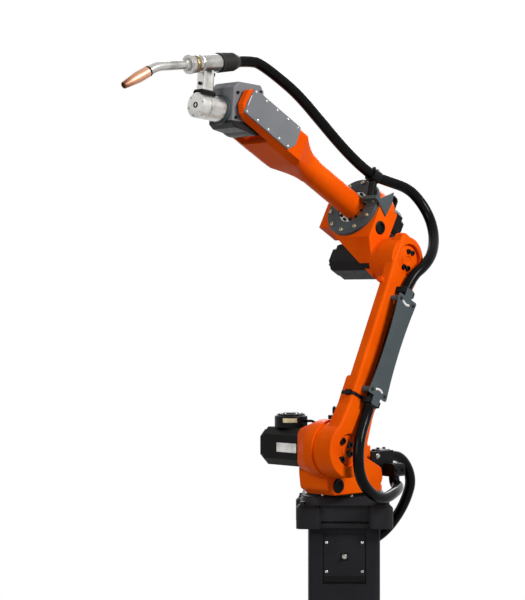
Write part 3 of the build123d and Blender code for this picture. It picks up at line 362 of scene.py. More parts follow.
# Extruded hose sleeve: deep black with a long narrow highlight.
HOSE = moulded("extruded_black_hose_sleeve", "#0A0A0A", "#131313", (0.14, 0.26), 1.2, 0.05, level=0.06)
# Moulded polyamide: black, matt, with a fine sparked grain.
PLASTIC = moulded("moulded_black_polyamide", "#101010", "#1A1919", (0.36, 0.52), 1.0, 0.15, level=0.08)
# Moulded rubber: dark grey and dull, dusty in patches.
RUBBER = moulded("moulded_dark_rubber", "#2A2827", "#383533", (0.50, 0.70), 1.4, 0.2, level=0.12)
print("polymers:", [m.name for m in (HOSE, PLASTIC, RUBBER)])

# %% [markdown]
# ## Finishes on the CAD nodes
# Every solid keeps its shape and only gets its finish, so the list is the paint shop's: which casting, cover or
# motor is sprayed or left bare. The pieces that later cells add are given their finishes where they are made.

# %% Paint the nodes
FINISHES = {
    ORANGE: ["turning_column", "link_arm", "arm_housing", "forearm"],
    ANTHRACITE: ["pedestal_foot_plate", "pedestal_column", "pedestal_cover_panel", "pedestal_top_plate"],
    BASE_PAINT: ["base_frame"],
    DARK_GREY: ["hose_cover_plate", "arm_ring", "tool_flange", "hose_bracket"],
    WRIST_GREY: ["wrist_plate_left", "wrist_plate_right"],
    SWIVEL_GREY: ["wrist_swivel"],
    MOTOR_BLACK: ["shoulder_motor", "turn_motor", "elbow_motor", "roll_motor", "torch_bracket_foot"],
    BLACK_OXIDE: ["base_bearing_ring"],
    STEEL: ["forearm_flange", "torch_neck", "torch_body"],
    ALUMINIUM: ["collision_sensor", "torch_bracket"],
    PLASTIC: ["shoulder_motor_connector", "pedestal_hose_gland", "rear_hose_bracket", "high_hose_clamp",
              "low_hose_clamp", "hose_post"],
    COPPER: ["torch_nozzle"],
}
for finish, names in FINISHES.items():
    for name in names:
        nodes[name].data.materials.clear()
        nodes[name].data.materials.append(finish)
print("finished nodes:", sum(len(names) for names in FINISHES.values()))

# %% [markdown]
# ## Surfaces on a grid
# Small pieces are surfaces of two parameters, worked out as whole arrays: a profile turned round an axis, or an
# outline pulled in step by step to make a plate. A grid's faces join neighbouring rows and columns, points that
# fall together at a pole are merged, and each mesh is put where it belongs so that its object stays at the origin.

# %% Grid helpers
SHARP = np.radians(38)
MERGE = 1e-6


def grid_faces(rows, columns):
    """Quads between neighbouring rows; the last column joins the first."""
    i, j = np.meshgrid(np.arange(rows - 1), np.arange(columns), indexing="ij")
    k = (j + 1) % columns
    return np.stack([i * columns + j, i * columns + k, (i + 1) * columns + k, (i + 1) * columns + j],
                    -1).reshape(-1, 4)


def turned(profile, around=24, hexed=(), share=1.0):
    """P(s, a) = (r(s) cos a, r(s) sin a, h(s)) for rows of (r, h). A row named in hexed has a hexagon's radius,
    r / cos(angle from the middle of the nearest flat). A share below 1 turns only that part of the circle, from X,
    and closes it straight across."""
    profile = np.asarray(profile, float)
    a = np.arange(around) * 2 * np.pi / around * share
    radius = profile[:, :1] * np.ones(around)
    radius[list(hexed)] /= np.cos((a + np.pi / 6) % (np.pi / 3) - np.pi / 6)
    height = profile[:, 1:] * np.ones(around)
    points = np.stack([radius * np.cos(a), radius * np.sin(a), height], -1).reshape(-1, 3)
    return points, grid_faces(len(profile), around)


def rounded_loop(half_a, half_b, corner, steps=6):
    """A rounded rectangle: a quarter circle in each corner, as its centre plus corner times (cos t, sin t).
    Gives the points and the outward directions."""
    t = np.linspace(0, np.pi / 2, steps) + np.arange(4)[:, None] * np.pi / 2
    out = np.stack([np.cos(t), np.sin(t)], -1)
    centre = np.array([[1, 1], [-1, 1], [-1, -1], [1, -1]]) * (half_a - corner, half_b - corner)
    return (centre[:, None] + corner * out).reshape(-1, 2), out.reshape(-1, 2)


def plate(half_a, half_b, corner, rows):
    """A rounded plate: each row is (inset, height), the outline pulled in by inset along its directions, and
    closed to the middle at both ends."""
    loop, out = rounded_loop(half_a, half_b, corner)
    rings = [np.c_[loop - inset * out, np.full(len(loop), height)] for inset, height in rows]
    ends = [np.tile((0, 0, rows[i][1]), (len(loop), 1)) for i in (0, -1)]
    points = np.concatenate([ends[0], *rings, ends[1]])
    return points, grid_faces(len(rows) + 2, len(loop))


def seats_on(place, out, centres):
    """One 4 by 4 seat per centre: its Z is the outward direction, its X lies level where it can."""
    out = np.asarray(out, float) / np.linalg.norm(out)
    side = np.cross((0, 0, 1) if abs(out[2]) < 0.9 else (0, 1, 0), out)
    side /= np.linalg.norm(side)
    seats = np.tile(np.eye(4), (len(centres), 1, 1))
    seats[:, :3, :3] = np.stack([side, np.cross(out, side), out], -1)
    seats[:, :3, 3] = centres
    return place @ seats


def scatter(shape, seats):
    """Copies of one shape, a seat each: P = seat x point for all seats at once."""
    points, faces = shape
    moved = np.einsum("kij,nj->kni", seats[:, :3, :3], points) + seats[:, None, :3, 3]
    first = np.arange(len(seats))[:, None, None] * len(points)
    return moved.reshape(-1, 3) * MM, (faces[None] + first).reshape(-1, 4)


def ring_of(count, radius, centre, axis, first=0.0):
    """Points at equal angles on a circle about X, Y or Z (axis 0, 1 or 2)."""
    a = np.radians(first) + np.arange(count) * 2 * np.pi / count
    points = np.tile(np.asarray(centre, float), (count, 1))
    points[:, (axis + 1) % 3] += radius * np.cos(a)
    points[:, (axis + 2) % 3] += radius * np.sin(a)
    return points


def add_piece(name, shape, finish, body=None):
    """Puts a shape (points in metres, quads) into a mesh, merges its poles and seams, turns its faces outwards,
    and lets it ride on a body."""
    points, faces = shape
    mesh = bpy.data.meshes.new(name)
    mesh.vertices.add(len(points))
    mesh.vertices.foreach_set("co", np.asarray(points, np.float32).ravel())
    mesh.loops.add(faces.size)
    mesh.loops.foreach_set("vertex_index", faces.astype(np.int32).ravel())
    mesh.polygons.add(len(faces))
    mesh.polygons.foreach_set("loop_start", np.arange(0, faces.size, 4, dtype=np.int32))
    mesh.update(calc_edges=True)
    shell = bmesh.new()
    shell.from_mesh(mesh)
    bmesh.ops.remove_doubles(shell, verts=shell.verts, dist=MERGE)
    bmesh.ops.recalc_face_normals(shell, faces=shell.faces)
    shell.to_mesh(mesh)
    shell.free()
    mesh.shade_smooth()
    mesh.set_sharp_from_angle(angle=SHARP)
    mesh.materials.append(finish)
    piece = bpy.data.objects.new(name, mesh)
    bpy.context.scene.collection.objects.link(piece)
    if body:
        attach(piece, body)
    print(name, len(mesh.polygons), "faces")
    return piece


def add_seated(name, shape, place, out, centres, finish, body):
    """One piece of copies of a shape: one at each centre in a frame, its own Z turned to the direction out."""
    return add_piece(name, scatter(shape, seats_on(place, out, centres)), finish, body)


# The ways that a piece can face in its frame.
X, Y, Z = (1, 0, 0), (0, 1, 0), (0, 0, 1)
BACK_X, BACK_Y = (-1, 0, 0), (0, -1, 0)
print("edges stay sharp above", round(float(np.degrees(SHARP))), "degrees")

# %% [markdown]
# ## The hose package
# Power, gas and wire reach the torch in one black hose about 32 mm thick. It is clamped to the arm at a post, to
# the link under a cover plate and to the turning column at two blocks, and hangs free between them, so each free
# stretch crosses exactly one axis and bends with it. A tube could be swept by a curve's bevel, but a mesh can be
# bent point by point when the axis moves, so the tube is a surface round the line that Blender's own NURBS spline
# draws along the route: P(s, a) = C(s) + r (N(s) cos a + B(s) sin a).

# %% Hose routes
HOSE_DIAMETER = 32.0
# The hose's line under the cover, in the link's frame: its X and Y, and the heights of the cover's two ends.
COVER_X, COVER_Y, COVER_LOW, COVER_HIGH = -6, 210.4, 142, 506
# Where the hose is cut for the wrist and forearm axes, as a share of the leg between two points.
WRIST_CUT, FOREARM_CUT = 0.7, 0.41
OVER_WRIST = in_row(WRIST_SEAT, [(13, 4, 164), (-140, 20, 156), (-251, 34, 128)])
OVER_TUBE = in_row(ELBOW, [(271, 48, 227), (182, 60, 213), (133, 66, 213)])
WRIST_SPLIT = OVER_WRIST[0] + WRIST_CUT * (OVER_WRIST[1] - OVER_WRIST[0])
FOREARM_SPLIT = OVER_WRIST[2] + FOREARM_CUT * (OVER_TUBE[0] - OVER_WRIST[2])
HOSE_ROUTES = {
    "hose_at_torch": [in_row(TORCH, [(-122, 0, 0), (-167, 0, 0)]), OVER_WRIST[:1], [WRIST_SPLIT]],
    "hose_over_wrist": [[WRIST_SPLIT], OVER_WRIST[1:], [FOREARM_SPLIT]],
    "hose_over_forearm": [[FOREARM_SPLIT], OVER_TUBE],
    "hose_round_elbow": [in_row(ELBOW, [(133, 66, 213), (84, 72, 226), (4, 86, 248), (-52, 100, 233),
                                        (-87, 122, 199), (-99, 147, 155), (-88, 178, 104), (-66, 206, 54)]),
                         in_row(LINK, [(-44, 217, 602), (-13, 212, 554), (COVER_X, COVER_Y, COVER_HIGH)])],
    "hose_under_cover": [in_row(LINK, [(COVER_X, COVER_Y, COVER_HIGH), (COVER_X, COVER_Y, COVER_LOW)])],
    "hose_round_shoulder": [in_row(LINK, [(COVER_X, COVER_Y, COVER_LOW), (COVER_X, COVER_Y, 97)]),
                            in_row(SHOULDER, [(-12, 222, 36), (4, 230, -19), (-4, 230, -71), (-34, 228, -110),
                                              (-80, 223, -137), (-130, 215, -144), (-186, 194, -135),
                                              (-238, 163, -130), (-278, 131, -125), (-292, 101, -119),
                                              (-292, 101, -98)])],
    "hose_to_pedestal": [in_row(SHOULDER, [(-314, 50, -42), (-352, 50, -42), (-387, 50, -57), (-414, 50, -89),
                                           (-431, 44, -124), (-437, 32, -156)]),
                         in_row(TURRET, [(-256, 10, 537), (-251, -20, 492), (-241, -50, 455), (-217, -76, 428),
                                         (-180, -91, 413)]),
                         in_row(ROW, [(-162.5, 48, 408), (-138.5, 48, 408)])],
}
HOSE_ROUTES = {name: np.concatenate(parts) for name, parts in HOSE_ROUTES.items()}
print("route points:", {name: len(points) for name, points in HOSE_ROUTES.items()})

# %% A line from the route's NURBS spline
def spline_line(route):
    """The points of a NURBS spline whose control points are the route's."""
    curve = bpy.data.curves.new("line", "CURVE")
    curve.dimensions = "3D"
    curve.resolution_u = 40
    spline = curve.splines.new("NURBS")
    spline.points.add(len(route) - 1)
    spline.points.foreach_set("co", np.c_[route, np.ones(len(route))].ravel())
    spline.order_u = min(3, len(route))
    spline.use_endpoint_u = True
    holder = bpy.data.objects.new("line", curve)
    drawn = bpy.data.meshes.new_from_object(holder)
    line = np.empty(len(drawn.vertices) * 3)
    drawn.vertices.foreach_get("co", line)
    bpy.data.objects.remove(holder)
    bpy.data.curves.remove(curve)
    bpy.data.meshes.remove(drawn)
    return line.reshape(-1, 3)


def along(line):
    """Distance from the line's start to each of its points."""
    return np.r_[0, np.cumsum(np.linalg.norm(np.diff(line, axis=0), axis=1))]


ACROSS = TURRET[:3, 1]


def tube(line, radius, around=32, step=3.0):
    """P(s, a) = C(s) + r (N(s) cos a + B(s) sin a): N is square to the line and to the arm's own Y, B to both. The
    ends close to a point."""
    length = along(line)
    count = max(int(length[-1] / (step * MM)), 2)
    s = np.linspace(0, length[-1], count)
    centre = np.stack([np.interp(s, length, line[:, i]) for i in range(3)], -1)
    ahead = np.gradient(centre, axis=0)
    ahead /= np.linalg.norm(ahead, axis=1, keepdims=True)
    normal = np.cross(ahead, ACROSS)
    normal /= np.linalg.norm(normal, axis=1, keepdims=True)
    square = np.cross(ahead, normal)
    a = np.arange(around) * 2 * np.pi / around
    spoke = normal[:, None] * np.cos(a)[:, None] + square[:, None] * np.sin(a)[:, None]
    wall = centre[:, None] + radius * MM * spoke
    ends = [np.tile(centre[i], (1, around, 1)) for i in (0, -1)]
    return np.concatenate([ends[0], wall, ends[1]]).reshape(-1, 3), grid_faces(count + 2, around)


hose_lines = {name: spline_line(route) for name, route in HOSE_ROUTES.items()}
print("hose lengths:", {name: round(along(line)[-1], 3) for name, line in hose_lines.items()})

# %% [markdown]
# Each stretch names the two bodies that hold its ends, between which the real hose bends when the axis inside its
# loop moves; here each stretch is baked in place at rest. The one under the cover lies still on the link.

# %% Hose tubes
HOSE_BODIES = {
    "hose_at_torch": ("tool", "wrist"),
    "hose_over_wrist": ("wrist", "forearm"),
    "hose_over_forearm": ("forearm", "arm"),
    "hose_round_elbow": ("arm", "link"),
    "hose_round_shoulder": ("link", "column"),
    "hose_to_pedestal": ("column", "base"),
}
for name, line in hose_lines.items():
    sleeve = add_piece(name + "_sleeve", tube(line, HOSE_DIAMETER / 2), HOSE,
                       None if name in HOSE_BODIES else "link")
    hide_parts(name)
    if name in HOSE_BODIES:
        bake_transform(sleeve)

# %% [markdown]
# ## Screws and nuts
# A robot's castings are held by socket head screws, a few hundred in all, and they are what makes a casting read
# as a machine. One head is a turned profile whose socket rows are hexagons. It is worked out once and copied to
# all its seats with one array product, so a whole ring of screws is one piece.

# %% Screw heads
SUNK = 0.6


def cap_screw(radius, height):
    """A socket head: side, small bevel, hexagon socket half as deep as the head."""
    socket, floor = radius * 0.52, height * 0.45
    return turned([(0, -SUNK), (radius, -SUNK), (radius, height * 0.86), (radius * 0.9, height), (socket, height),
                   (socket, floor), (0, floor)], hexed=(4, 5))


def button_screw(radius, height):
    """A low domed head with a small hexagon socket: r = radius cos t, h = height sin t."""
    t = np.linspace(0, 1.1, 6)
    dome = np.c_[radius * np.cos(t), height * np.sin(t)]
    socket, top = radius * 0.4, dome[-1, 1]
    return turned([(0, -SUNK), (radius, -SUNK), *dome, (socket, top), (socket, top * 0.4), (0, top * 0.4)],
                  hexed=(8, 9))


def hex_bolt(radius, height):
    """A hexagon head on a round washer, with the head's corners turned off."""
    washer, rim = height * 0.25, radius * 1.45
    return turned([(0, -SUNK), (rim, -SUNK), (rim, washer), (radius, washer), (radius, height * 0.85),
                   (radius * 0.88, height), (0, height)], hexed=(3, 4))


def anchor_nut(radius, height):
    """A washer, a nut and the end of the stud that stands out of it."""
    washer, rim, stud, end = height * 0.2, radius * 1.7, radius * 0.6, height * 1.7
    return turned([(0, -SUNK), (rim, -SUNK), (rim, washer), (radius, washer), (radius, height * 0.9),
                   (radius * 0.86, height), (stud, height), (stud, height * 1.6), (stud * 0.8, end), (0, end)],
                  hexed=(3, 4))


def corners(half_a, half_b):
    """The four corners of a rectangle, as pairs."""
    return [(a, b) for a in (-half_a, half_a) for b in (-half_b, half_b)]


print("one socket head has", len(cap_screw(6, 6)[1]), "faces")

# %% [markdown]
# ## Pedestal
# The stand is a square tube welded to a foot plate and bolted to the floor. A fillet weld is a row of small
# overlapping pools, so its bead is a quarter-round profile carried round the tube's outline whose size swells and
# shrinks once per pool: P(s, t) = outline(s) + b(s) (out(s) cos t + up sin t). The cover panel in front has four
# low screws and a quarter-turn lock on a small plate. The black strip along its foot is a painted shadow: it
# stands for the shade under the panel's lower edge.

# %% Weld and anchors
POOL = 4.5
FOOT_TOP, TUBE_HALF, TUBE_CORNER, ANCHOR_AT = 20, 104.5, 14, 190


def weld_bead(half, corner, height, size):
    """A bead round a rounded square: quarter circles of radius b(s) = size (1 + 0.12 |sin(pi s / pool)|)."""
    loop, out = rounded_loop(half, half, corner, 12)
    closed, turned_out = np.r_[loop, loop[:1]], np.r_[out, out[:1]]
    s = along(closed)
    even = np.arange(0, s[-1], POOL / 4)
    flat = np.stack([np.interp(even, s, closed[:, i]) for i in (0, 1)], -1)
    side = np.stack([np.interp(even, s, turned_out[:, i]) for i in (0, 1)], -1)
    b = size * (1 + 0.12 * np.abs(np.sin(np.pi * even / POOL)))
    t = np.linspace(-0.15, np.pi / 2 + 0.15, 7)
    spread = flat[None] - 0.6 * side + (b * np.cos(t)[:, None])[..., None] * side
    rise = height - 0.3 + b * np.sin(t)[:, None]
    root = np.c_[flat - 0.8 * side, np.full(len(flat), height - 0.4)][None]
    rows = np.concatenate([root, np.dstack([spread, rise]), root])
    return rows.reshape(-1, 3) * MM, grid_faces(len(rows), len(flat))


add_piece("pedestal_foot_weld", weld_bead(TUBE_HALF, TUBE_CORNER, FOOT_TOP, 6), ANTHRACITE, "base")
ANCHORS = [(x, y, FOOT_TOP) for x, y in corners(ANCHOR_AT, ANCHOR_AT)]
add_seated("pedestal_anchor_nuts", anchor_nut(13, 14), ROW, Z, ANCHORS, STEEL, "base")

# %% Cover panel
PANEL_FACE, LOCK_HEIGHT = 102.5, 416
PANEL_SCREWS = [(PANEL_FACE, y, z) for y in (-52, 52) for z in (372, 457)]
add_seated("panel_corner_screws", button_screw(5.2, 3.4), ROW, X, PANEL_SCREWS, STEEL, "base")
# Painted shadow: a thin black strip where the panel's lower edge casts its shade.
PANEL_SHADOW_STRIP = plate(60, 8.5, 2, [(0, -SUNK), (0, 1.6), (0.6, 2.2)])
add_seated("panel_foot_strip", PANEL_SHADOW_STRIP, ROW, X, [(PANEL_FACE, 0, 350)], PLASTIC, "base")
LOCK_PLATE = plate(11, 11, 2, [(0, -SUNK), (0, 1.2), (0.6, 1.8)])
add_seated("panel_lock_plate", LOCK_PLATE, ROW, X, [(PANEL_FACE, 0, LOCK_HEIGHT)], PLASTIC, "base")
LOCK = turned([(0, -SUNK), (8, -SUNK), (8, 2), (7, 3.5), (6, 3.5), (6, 8), (5, 9.5), (2.2, 9.5), (2.2, 6), (0, 6)],
              32, hexed=(8,))
add_seated("panel_lock", LOCK, ROW, X, [(PANEL_FACE + 1.5, 0, LOCK_HEIGHT)], STEEL, "base")

# %% [markdown]
# ## Base casting
# The iron base stands on the pedestal with a screw in each corner foot, and a ring of bright screws holds the
# bearing that the whole arm turns on. They show as bright dots in the dark gap under the orange column. The rear
# wall has a closing plate with two round sockets for the motor and signal cables.

# %% Base pieces
CORNER_SCREWS = [(x, y, 567) for x, y in corners(122, 122)]
add_seated("base_corner_screws", hex_bolt(7.5, 12), ROW, Z, CORNER_SCREWS, BLACK_OXIDE, "base")
add_seated("bearing_ring_screws", cap_screw(5.2, 6), ROW, Z, ring_of(8, 111, (0, 0, 592), 2, 11), STEEL, "base")
REAR_WALL, SOCKET_HEIGHT = -118, 540
SOCKET_PLATE = plate(56, 24, 6, [(0, -SUNK), (0, 3), (1.5, 4.5)])
add_seated("base_socket_plate", SOCKET_PLATE, ROW, BACK_X, [(REAR_WALL, 0, SOCKET_HEIGHT)], DARK_GREY, "base")
SOCKET = turned([(0, -SUNK), (17, -SUNK), (17, 5), (14.5, 6), (14.5, 17), (13, 18.5), (11, 18.5), (10, 10),
                 (0, 10)], 32)
SOCKETS = [(REAR_WALL - 4, y, SOCKET_HEIGHT) for y in (-26, 26)]
add_seated("base_sockets", SOCKET, ROW, BACK_X, SOCKETS, PLASTIC, "base")
SOCKET_PLATE_SCREWS = [(REAR_WALL - 4.5, y, SOCKET_HEIGHT + z) for y, z in corners(50, 18)]
add_seated("base_socket_plate_screws", button_screw(3.2, 2), ROW, BACK_X, SOCKET_PLATE_SCREWS, STEEL, "base")

# %% [markdown]
# ## Fluted rings
# Union nuts, gland caps and connector rings have flutes to grip. A fluted ring is a turned profile whose radius
# also depends on the angle: r(s, a) = r(s) + g(s) cos(n a), with g only on the rows that are gripped.

# %% Fluted rings
def fluted(profile, teeth, depth, gripped, around=96):
    """A turned profile with teeth: r = r(s) + depth cos(teeth a) on the gripped rows."""
    points, faces = turned(profile, around)
    rows = points.reshape(len(profile), around, 3)
    a = np.arange(around) * 2 * np.pi / around
    bump = depth * np.cos(teeth * a)
    rows[list(gripped), :, :2] += np.stack([bump * np.cos(a), bump * np.sin(a)], -1)
    return rows.reshape(-1, 3), faces


GLAND_CAP = fluted([(17, 0), (24.2, 0), (26.5, 1.5), (26.5, 12), (24, 14), (17, 14), (17, 0)], 24, 0.8, (2, 3))
add_seated("gland_cap", GLAND_CAP, ROW, BACK_X, [(-124, 48, 408)], PLASTIC, "base")

# %% [markdown]
# ## Turning column and its motors
# The shoulder motor is a square black servo motor. Its type plate is left as a blank sheet of aluminium with four
# rivets. On top stands a round can for the plug, with a dark fluted lid and a pale zinc band on its side, and a
# short cable runs from it into the casting. The upright motor behind turns the whole column.

# %% Column pieces
MOTOR_X, MOTOR_Z = 180, 739
LIFT_PLUG = turned([(0, -SUNK), (15.6, -SUNK), (15.6, 14), (21, 14), (21, 17), (18.5, 19), (13, 19), (11, 14),
                    (0, 13)], 40)
add_seated("column_lift_plug", LIFT_PLUG, TURRET, Y, [(142, 100, 630)], PLASTIC, "column")
TYPE_PLATE = plate(40, 13.5, 2, [(0, -0.3), (0, 0.7), (0.4, 1.1)])
add_seated("shoulder_motor_blank_plate", TYPE_PLATE, TURRET, X, [(235, -4, 738)], ALUMINIUM, "column")
RIVETS = [(236, y - 4, z + 738) for y, z in corners(36, 10)]
add_seated("blank_plate_rivets", button_screw(1.8, 1.2), TURRET, X, RIVETS, STEEL, "column")
MOTOR_CAP_SCREW = cap_screw(4.2, 4)
SHOULDER_CAP = [(MOTOR_X + x, -122, MOTOR_Z + z) for x, z in corners(31, 31)]
add_seated("shoulder_motor_cap_screws", MOTOR_CAP_SCREW, TURRET, BACK_Y, SHOULDER_CAP, BLACK_OXIDE, "column")
TURN_CAP = [(-18 + x, y, 844) for x, y in corners(28, 28)]
add_seated("turn_motor_cap_screws", MOTOR_CAP_SCREW, TURRET, Z, TURN_CAP, BLACK_OXIDE, "column")

# %% Connector can
CAN_Y, CAN_TOP = -40, 828
CAN_LID = fluted([(0, -SUNK), (40, -SUNK), (40, 3), (38, 5), (24, 5), (22, 8), (0, 8)], 20, 0.7, (1, 2))
add_seated("connector_lid", CAN_LID, TURRET, Z, [(MOTOR_X, CAN_Y, CAN_TOP)], PLASTIC, "column")
LID_SCREWS = ring_of(6, 31, (MOTOR_X, CAN_Y, CAN_TOP + 5), 2, 15)
add_seated("connector_lid_screws", cap_screw(3, 3), TURRET, Z, LID_SCREWS, STEEL, "column")
BAND_SHARE, BAND_START = 52 / 360, 16
CAN_BAND = turned([(46, -6.5), (48.6, -6.5), (49.4, -5.7), (49.4, 5.7), (48.6, 6.5), (46, 6.5), (46, -6.5)], 24,
                  share=BAND_SHARE)
BAND_PLACE = TURRET @ shift(MOTOR_X, CAN_Y, CAN_TOP - 13) @ turn_z(BAND_START)
add_seated("connector_brass_ring", CAN_BAND, BAND_PLACE, Z, [(0, 0, 0)], ZINC, "column")
TURN_PLUG = fluted([(0, -SUNK), (14, -SUNK), (14, 10), (12, 12), (12, 22), (10, 24), (0, 24)], 20, 0.6, (1, 2))
add_seated("turn_motor_plug", TURN_PLUG, TURRET, BACK_X, [(-64, 0, 795)], PLASTIC, "column")

# %% Cable from the can into the casting
CAN_CABLE = 8.0
CAN_ROUTE = in_row(TURRET, [(172, 4, 812), (172, 22, 814), (172, 44, 815), (172, 70, 799)])
can_line = spline_line(CAN_ROUTE)
can_cable = add_piece("connector_cable", tube(can_line, CAN_CABLE / 2, around=16, step=2.0), HOSE, "column")

# %% [markdown]
# ## Hose clamps on the column
# Two plastic blocks hold the hose behind the column, one above the other, each closed by a pair of screws. The
# upper one has a grey cover strip, which is the light patch behind the shoulder.

# %% Clamp pieces
STRIP = plate(21, 20, 4, [(0, -SUNK), (0, 2.2), (0.8, 3)])
add_seated("high_clamp_strip", STRIP, TURRET, Z, [(-110, 50, 716)], WRIST_GREY, "column")
HIGH_SCREWS, LOW_SCREWS = [(-123, 50, 719), (-97, 50, 719)], [(-126, 124, 660), (-98, 124, 660)]
add_seated("high_clamp_screws", cap_screw(5, 5), TURRET, Z, HIGH_SCREWS, BLACK_OXIDE, "column")
add_seated("low_clamp_screws", cap_screw(5, 5), TURRET, Y, LOW_SCREWS, BLACK_OXIDE, "column")
BRACKET_SCREWS = [(-64, 78, 656), (-64, 78, 702)]
add_seated("rear_bracket_screws", hex_bolt(5.5, 6), TURRET, Y, BRACKET_SCREWS, STEEL, "column")

# %% [markdown]
# ## Link arm
# Both ends of the link have a round pocket in which its gear's output flange is screwed down. Only two
# pairs of black screw heads show in each. A strap holds a sensor lead against the foot of the link.

# %% Link pieces
POCKET_FLOOR = 182
BOSS = turned([(0, -SUNK), (44, -SUNK), (44, 2), (41, 4), (26, 4), (24, 6.5), (12, 6.5), (10, 4), (0, 4)], 64)
add_seated("link_pocket_bosses", BOSS, LINK, Y, [(0, POCKET_FLOOR, 0), (0, POCKET_FLOOR, 600)], ORANGE, "link")
ELBOW_PAIRS = [(x, POCKET_FLOOR + 3, z) for x, z in ((-8, 626), (9, 623), (-9, 577), (8, 574))]
add_seated("elbow_pocket_screws", cap_screw(7.5, 8), LINK, Y, ELBOW_PAIRS, BLACK_OXIDE, "link")
SHOULDER_PAIRS = [(x, POCKET_FLOOR + 3, z) for x, z in ((22, 27), (-7, 14), (27, -26), (-7, -11))]
add_seated("shoulder_pocket_screws", cap_screw(10, 8), SHOULDER, Y, SHOULDER_PAIRS, BLACK_OXIDE, "link")

# %% Strap round the foot of the link
STRAP_Z, STRAP_HALF, LINK_MIDDLE = 154.0, 5.0, 169.5


def strap():
    """A band round the link: its outline moved out by the profile's first number, up by its second."""
    loop, out = rounded_loop(55, 24.5, 6, 8)
    profile = [(-0.4, -STRAP_HALF), (1.2, -STRAP_HALF), (1.6, -STRAP_HALF + 1), (1.6, STRAP_HALF - 1),
               (1.2, STRAP_HALF), (-0.4, STRAP_HALF), (-0.4, -STRAP_HALF)]
    rows = [np.c_[loop + away * out + (0, LINK_MIDDLE), np.full(len(loop), STRAP_Z + up)] for away, up in profile]
    return in_row(LINK, np.concatenate(rows)), grid_faces(len(profile), len(loop))


add_piece("link_strap", strap(), PLASTIC, "link")
BUCKLE = plate(10, 8, 2, [(0, -SUNK), (0, 6), (2, 8)])
add_seated("link_strap_buckle", BUCKLE, LINK, X, [(56, 176, STRAP_Z)], PLASTIC, "link")

# %% [markdown]
# ## Hose cover
# The grey plate over the hose is screwed to four spacers. Its narrow necks end in rubber rings that keep the hose
# from chafing, clamp cheeks stand on both sides of it, and at each end a raised white arc is a painted highlight,
# standing for the glint on the cover's curved edge: P(t) = centre + r (X cos t + Z sin t).

# %% Hose cover pieces
COVER_SCREWS = [(COVER_X + x, 229.8, z) for x in (-28, 28) for z in (181, 467)]
add_seated("hose_cover_screws", button_screw(5.4, 3), LINK, Y, COVER_SCREWS, BLACK_OXIDE, "link")
SEAL_RADIUS, SEAL_BEAD = 16.6, 1.3
t = np.linspace(0, 2 * np.pi, 13)
SEAL = turned(np.c_[SEAL_RADIUS + SEAL_BEAD * np.cos(t), SEAL_BEAD * np.sin(t)], 40)
SEALS = [(COVER_X, COVER_Y, COVER_LOW - 3), (COVER_X, COVER_Y, COVER_HIGH + 3)]
add_seated("hose_cover_seals", SEAL, LINK, Z, SEALS, RUBBER, "link")
ARC_RADIUS, ARC_BEAD, ARC_Y = 28.0, 4.4, 227.4
# The white arcs are painted highlights: white strips for the glint of the cover's curved ends.
for end, height, first, last in (("high", 486, -115, -50), ("low", 162, 55, 122)):
    t = np.radians(np.linspace(first, last, 24))
    arc = np.c_[COVER_X + ARC_RADIUS * np.cos(t), np.full(len(t), ARC_Y), height + ARC_RADIUS * np.sin(t)]
    add_piece("hose_cover_arc_" + end, tube(in_row(LINK, arc), ARC_BEAD, around=16, step=2.0), WHITE_MARK_AND_HIGHLIGHT, "link")
CHEEK = plate(4, 9, 2, [(0, -SUNK), (0, 31), (1, 32.5)])
CHEEKS = [(COVER_X + x, 194, z) for x in (-21, 21) for z in (151, 497)]
add_seated("hose_cover_cheeks", CHEEK, LINK, Y, CHEEKS, PLASTIC, "link")

# %% [markdown]
# ## Arm housing
# The dark ring in front of the housing carries the forearm's bearing and is held by a circle of zinc-plated
# screws; a short white line marks its zero position. The round opening on the side is closed with a plastic plug.

# %% Arm pieces
RING_FACE, ROLL_HEIGHT = 110, 125
RING_SCREWS = ring_of(10, 81, (RING_FACE, 0, ROLL_HEIGHT), 0, 12)
add_seated("arm_ring_screws", cap_screw(5.6, 6), ELBOW, X, RING_SCREWS, ZINC, "arm")
MARK = plate(7, 2.2, 1, [(0, -SUNK), (0, 0.3), (0.3, 0.5)])
add_seated("arm_zero_mark", MARK, ELBOW, X, [(RING_FACE, 30, 211)], WHITE_MARK_AND_HIGHLIGHT, "arm")
PLUG = turned([(0, -SUNK), (14.4, -SUNK), (14.4, 11.5), (20, 11.5), (20, 14), (18, 15.5), (13.5, 15.5), (12, 11),
               (0, 10)], 40)
add_seated("arm_side_plug", PLUG, ELBOW, Y, [(68, 88.5, 73)], PLASTIC, "arm")
POST_SCREWS = [(126, 67, 234.4), (140, 65, 234.4)]
add_seated("hose_post_screws", cap_screw(4.4, 4.4), ELBOW, Z, POST_SCREWS, BLACK_OXIDE, "arm")
BELT_X, BELT_Z = 59, 105
BELT_COVER = plate(30, 33, 6, [(0, -SUNK), (0, 2), (1, 3)])
add_seated("arm_belt_cover", BELT_COVER, ELBOW, BACK_Y, [(BELT_X, -128, BELT_Z)], ORANGE, "arm")
BELT_SCREWS = [(BELT_X + x, -131, BELT_Z + z) for x in (-25, 25) for z in (-28, 0, 28)]
add_seated("arm_belt_cover_screws", button_screw(3.8, 2.4), ELBOW, BACK_Y, BELT_SCREWS, BLACK_OXIDE, "arm")

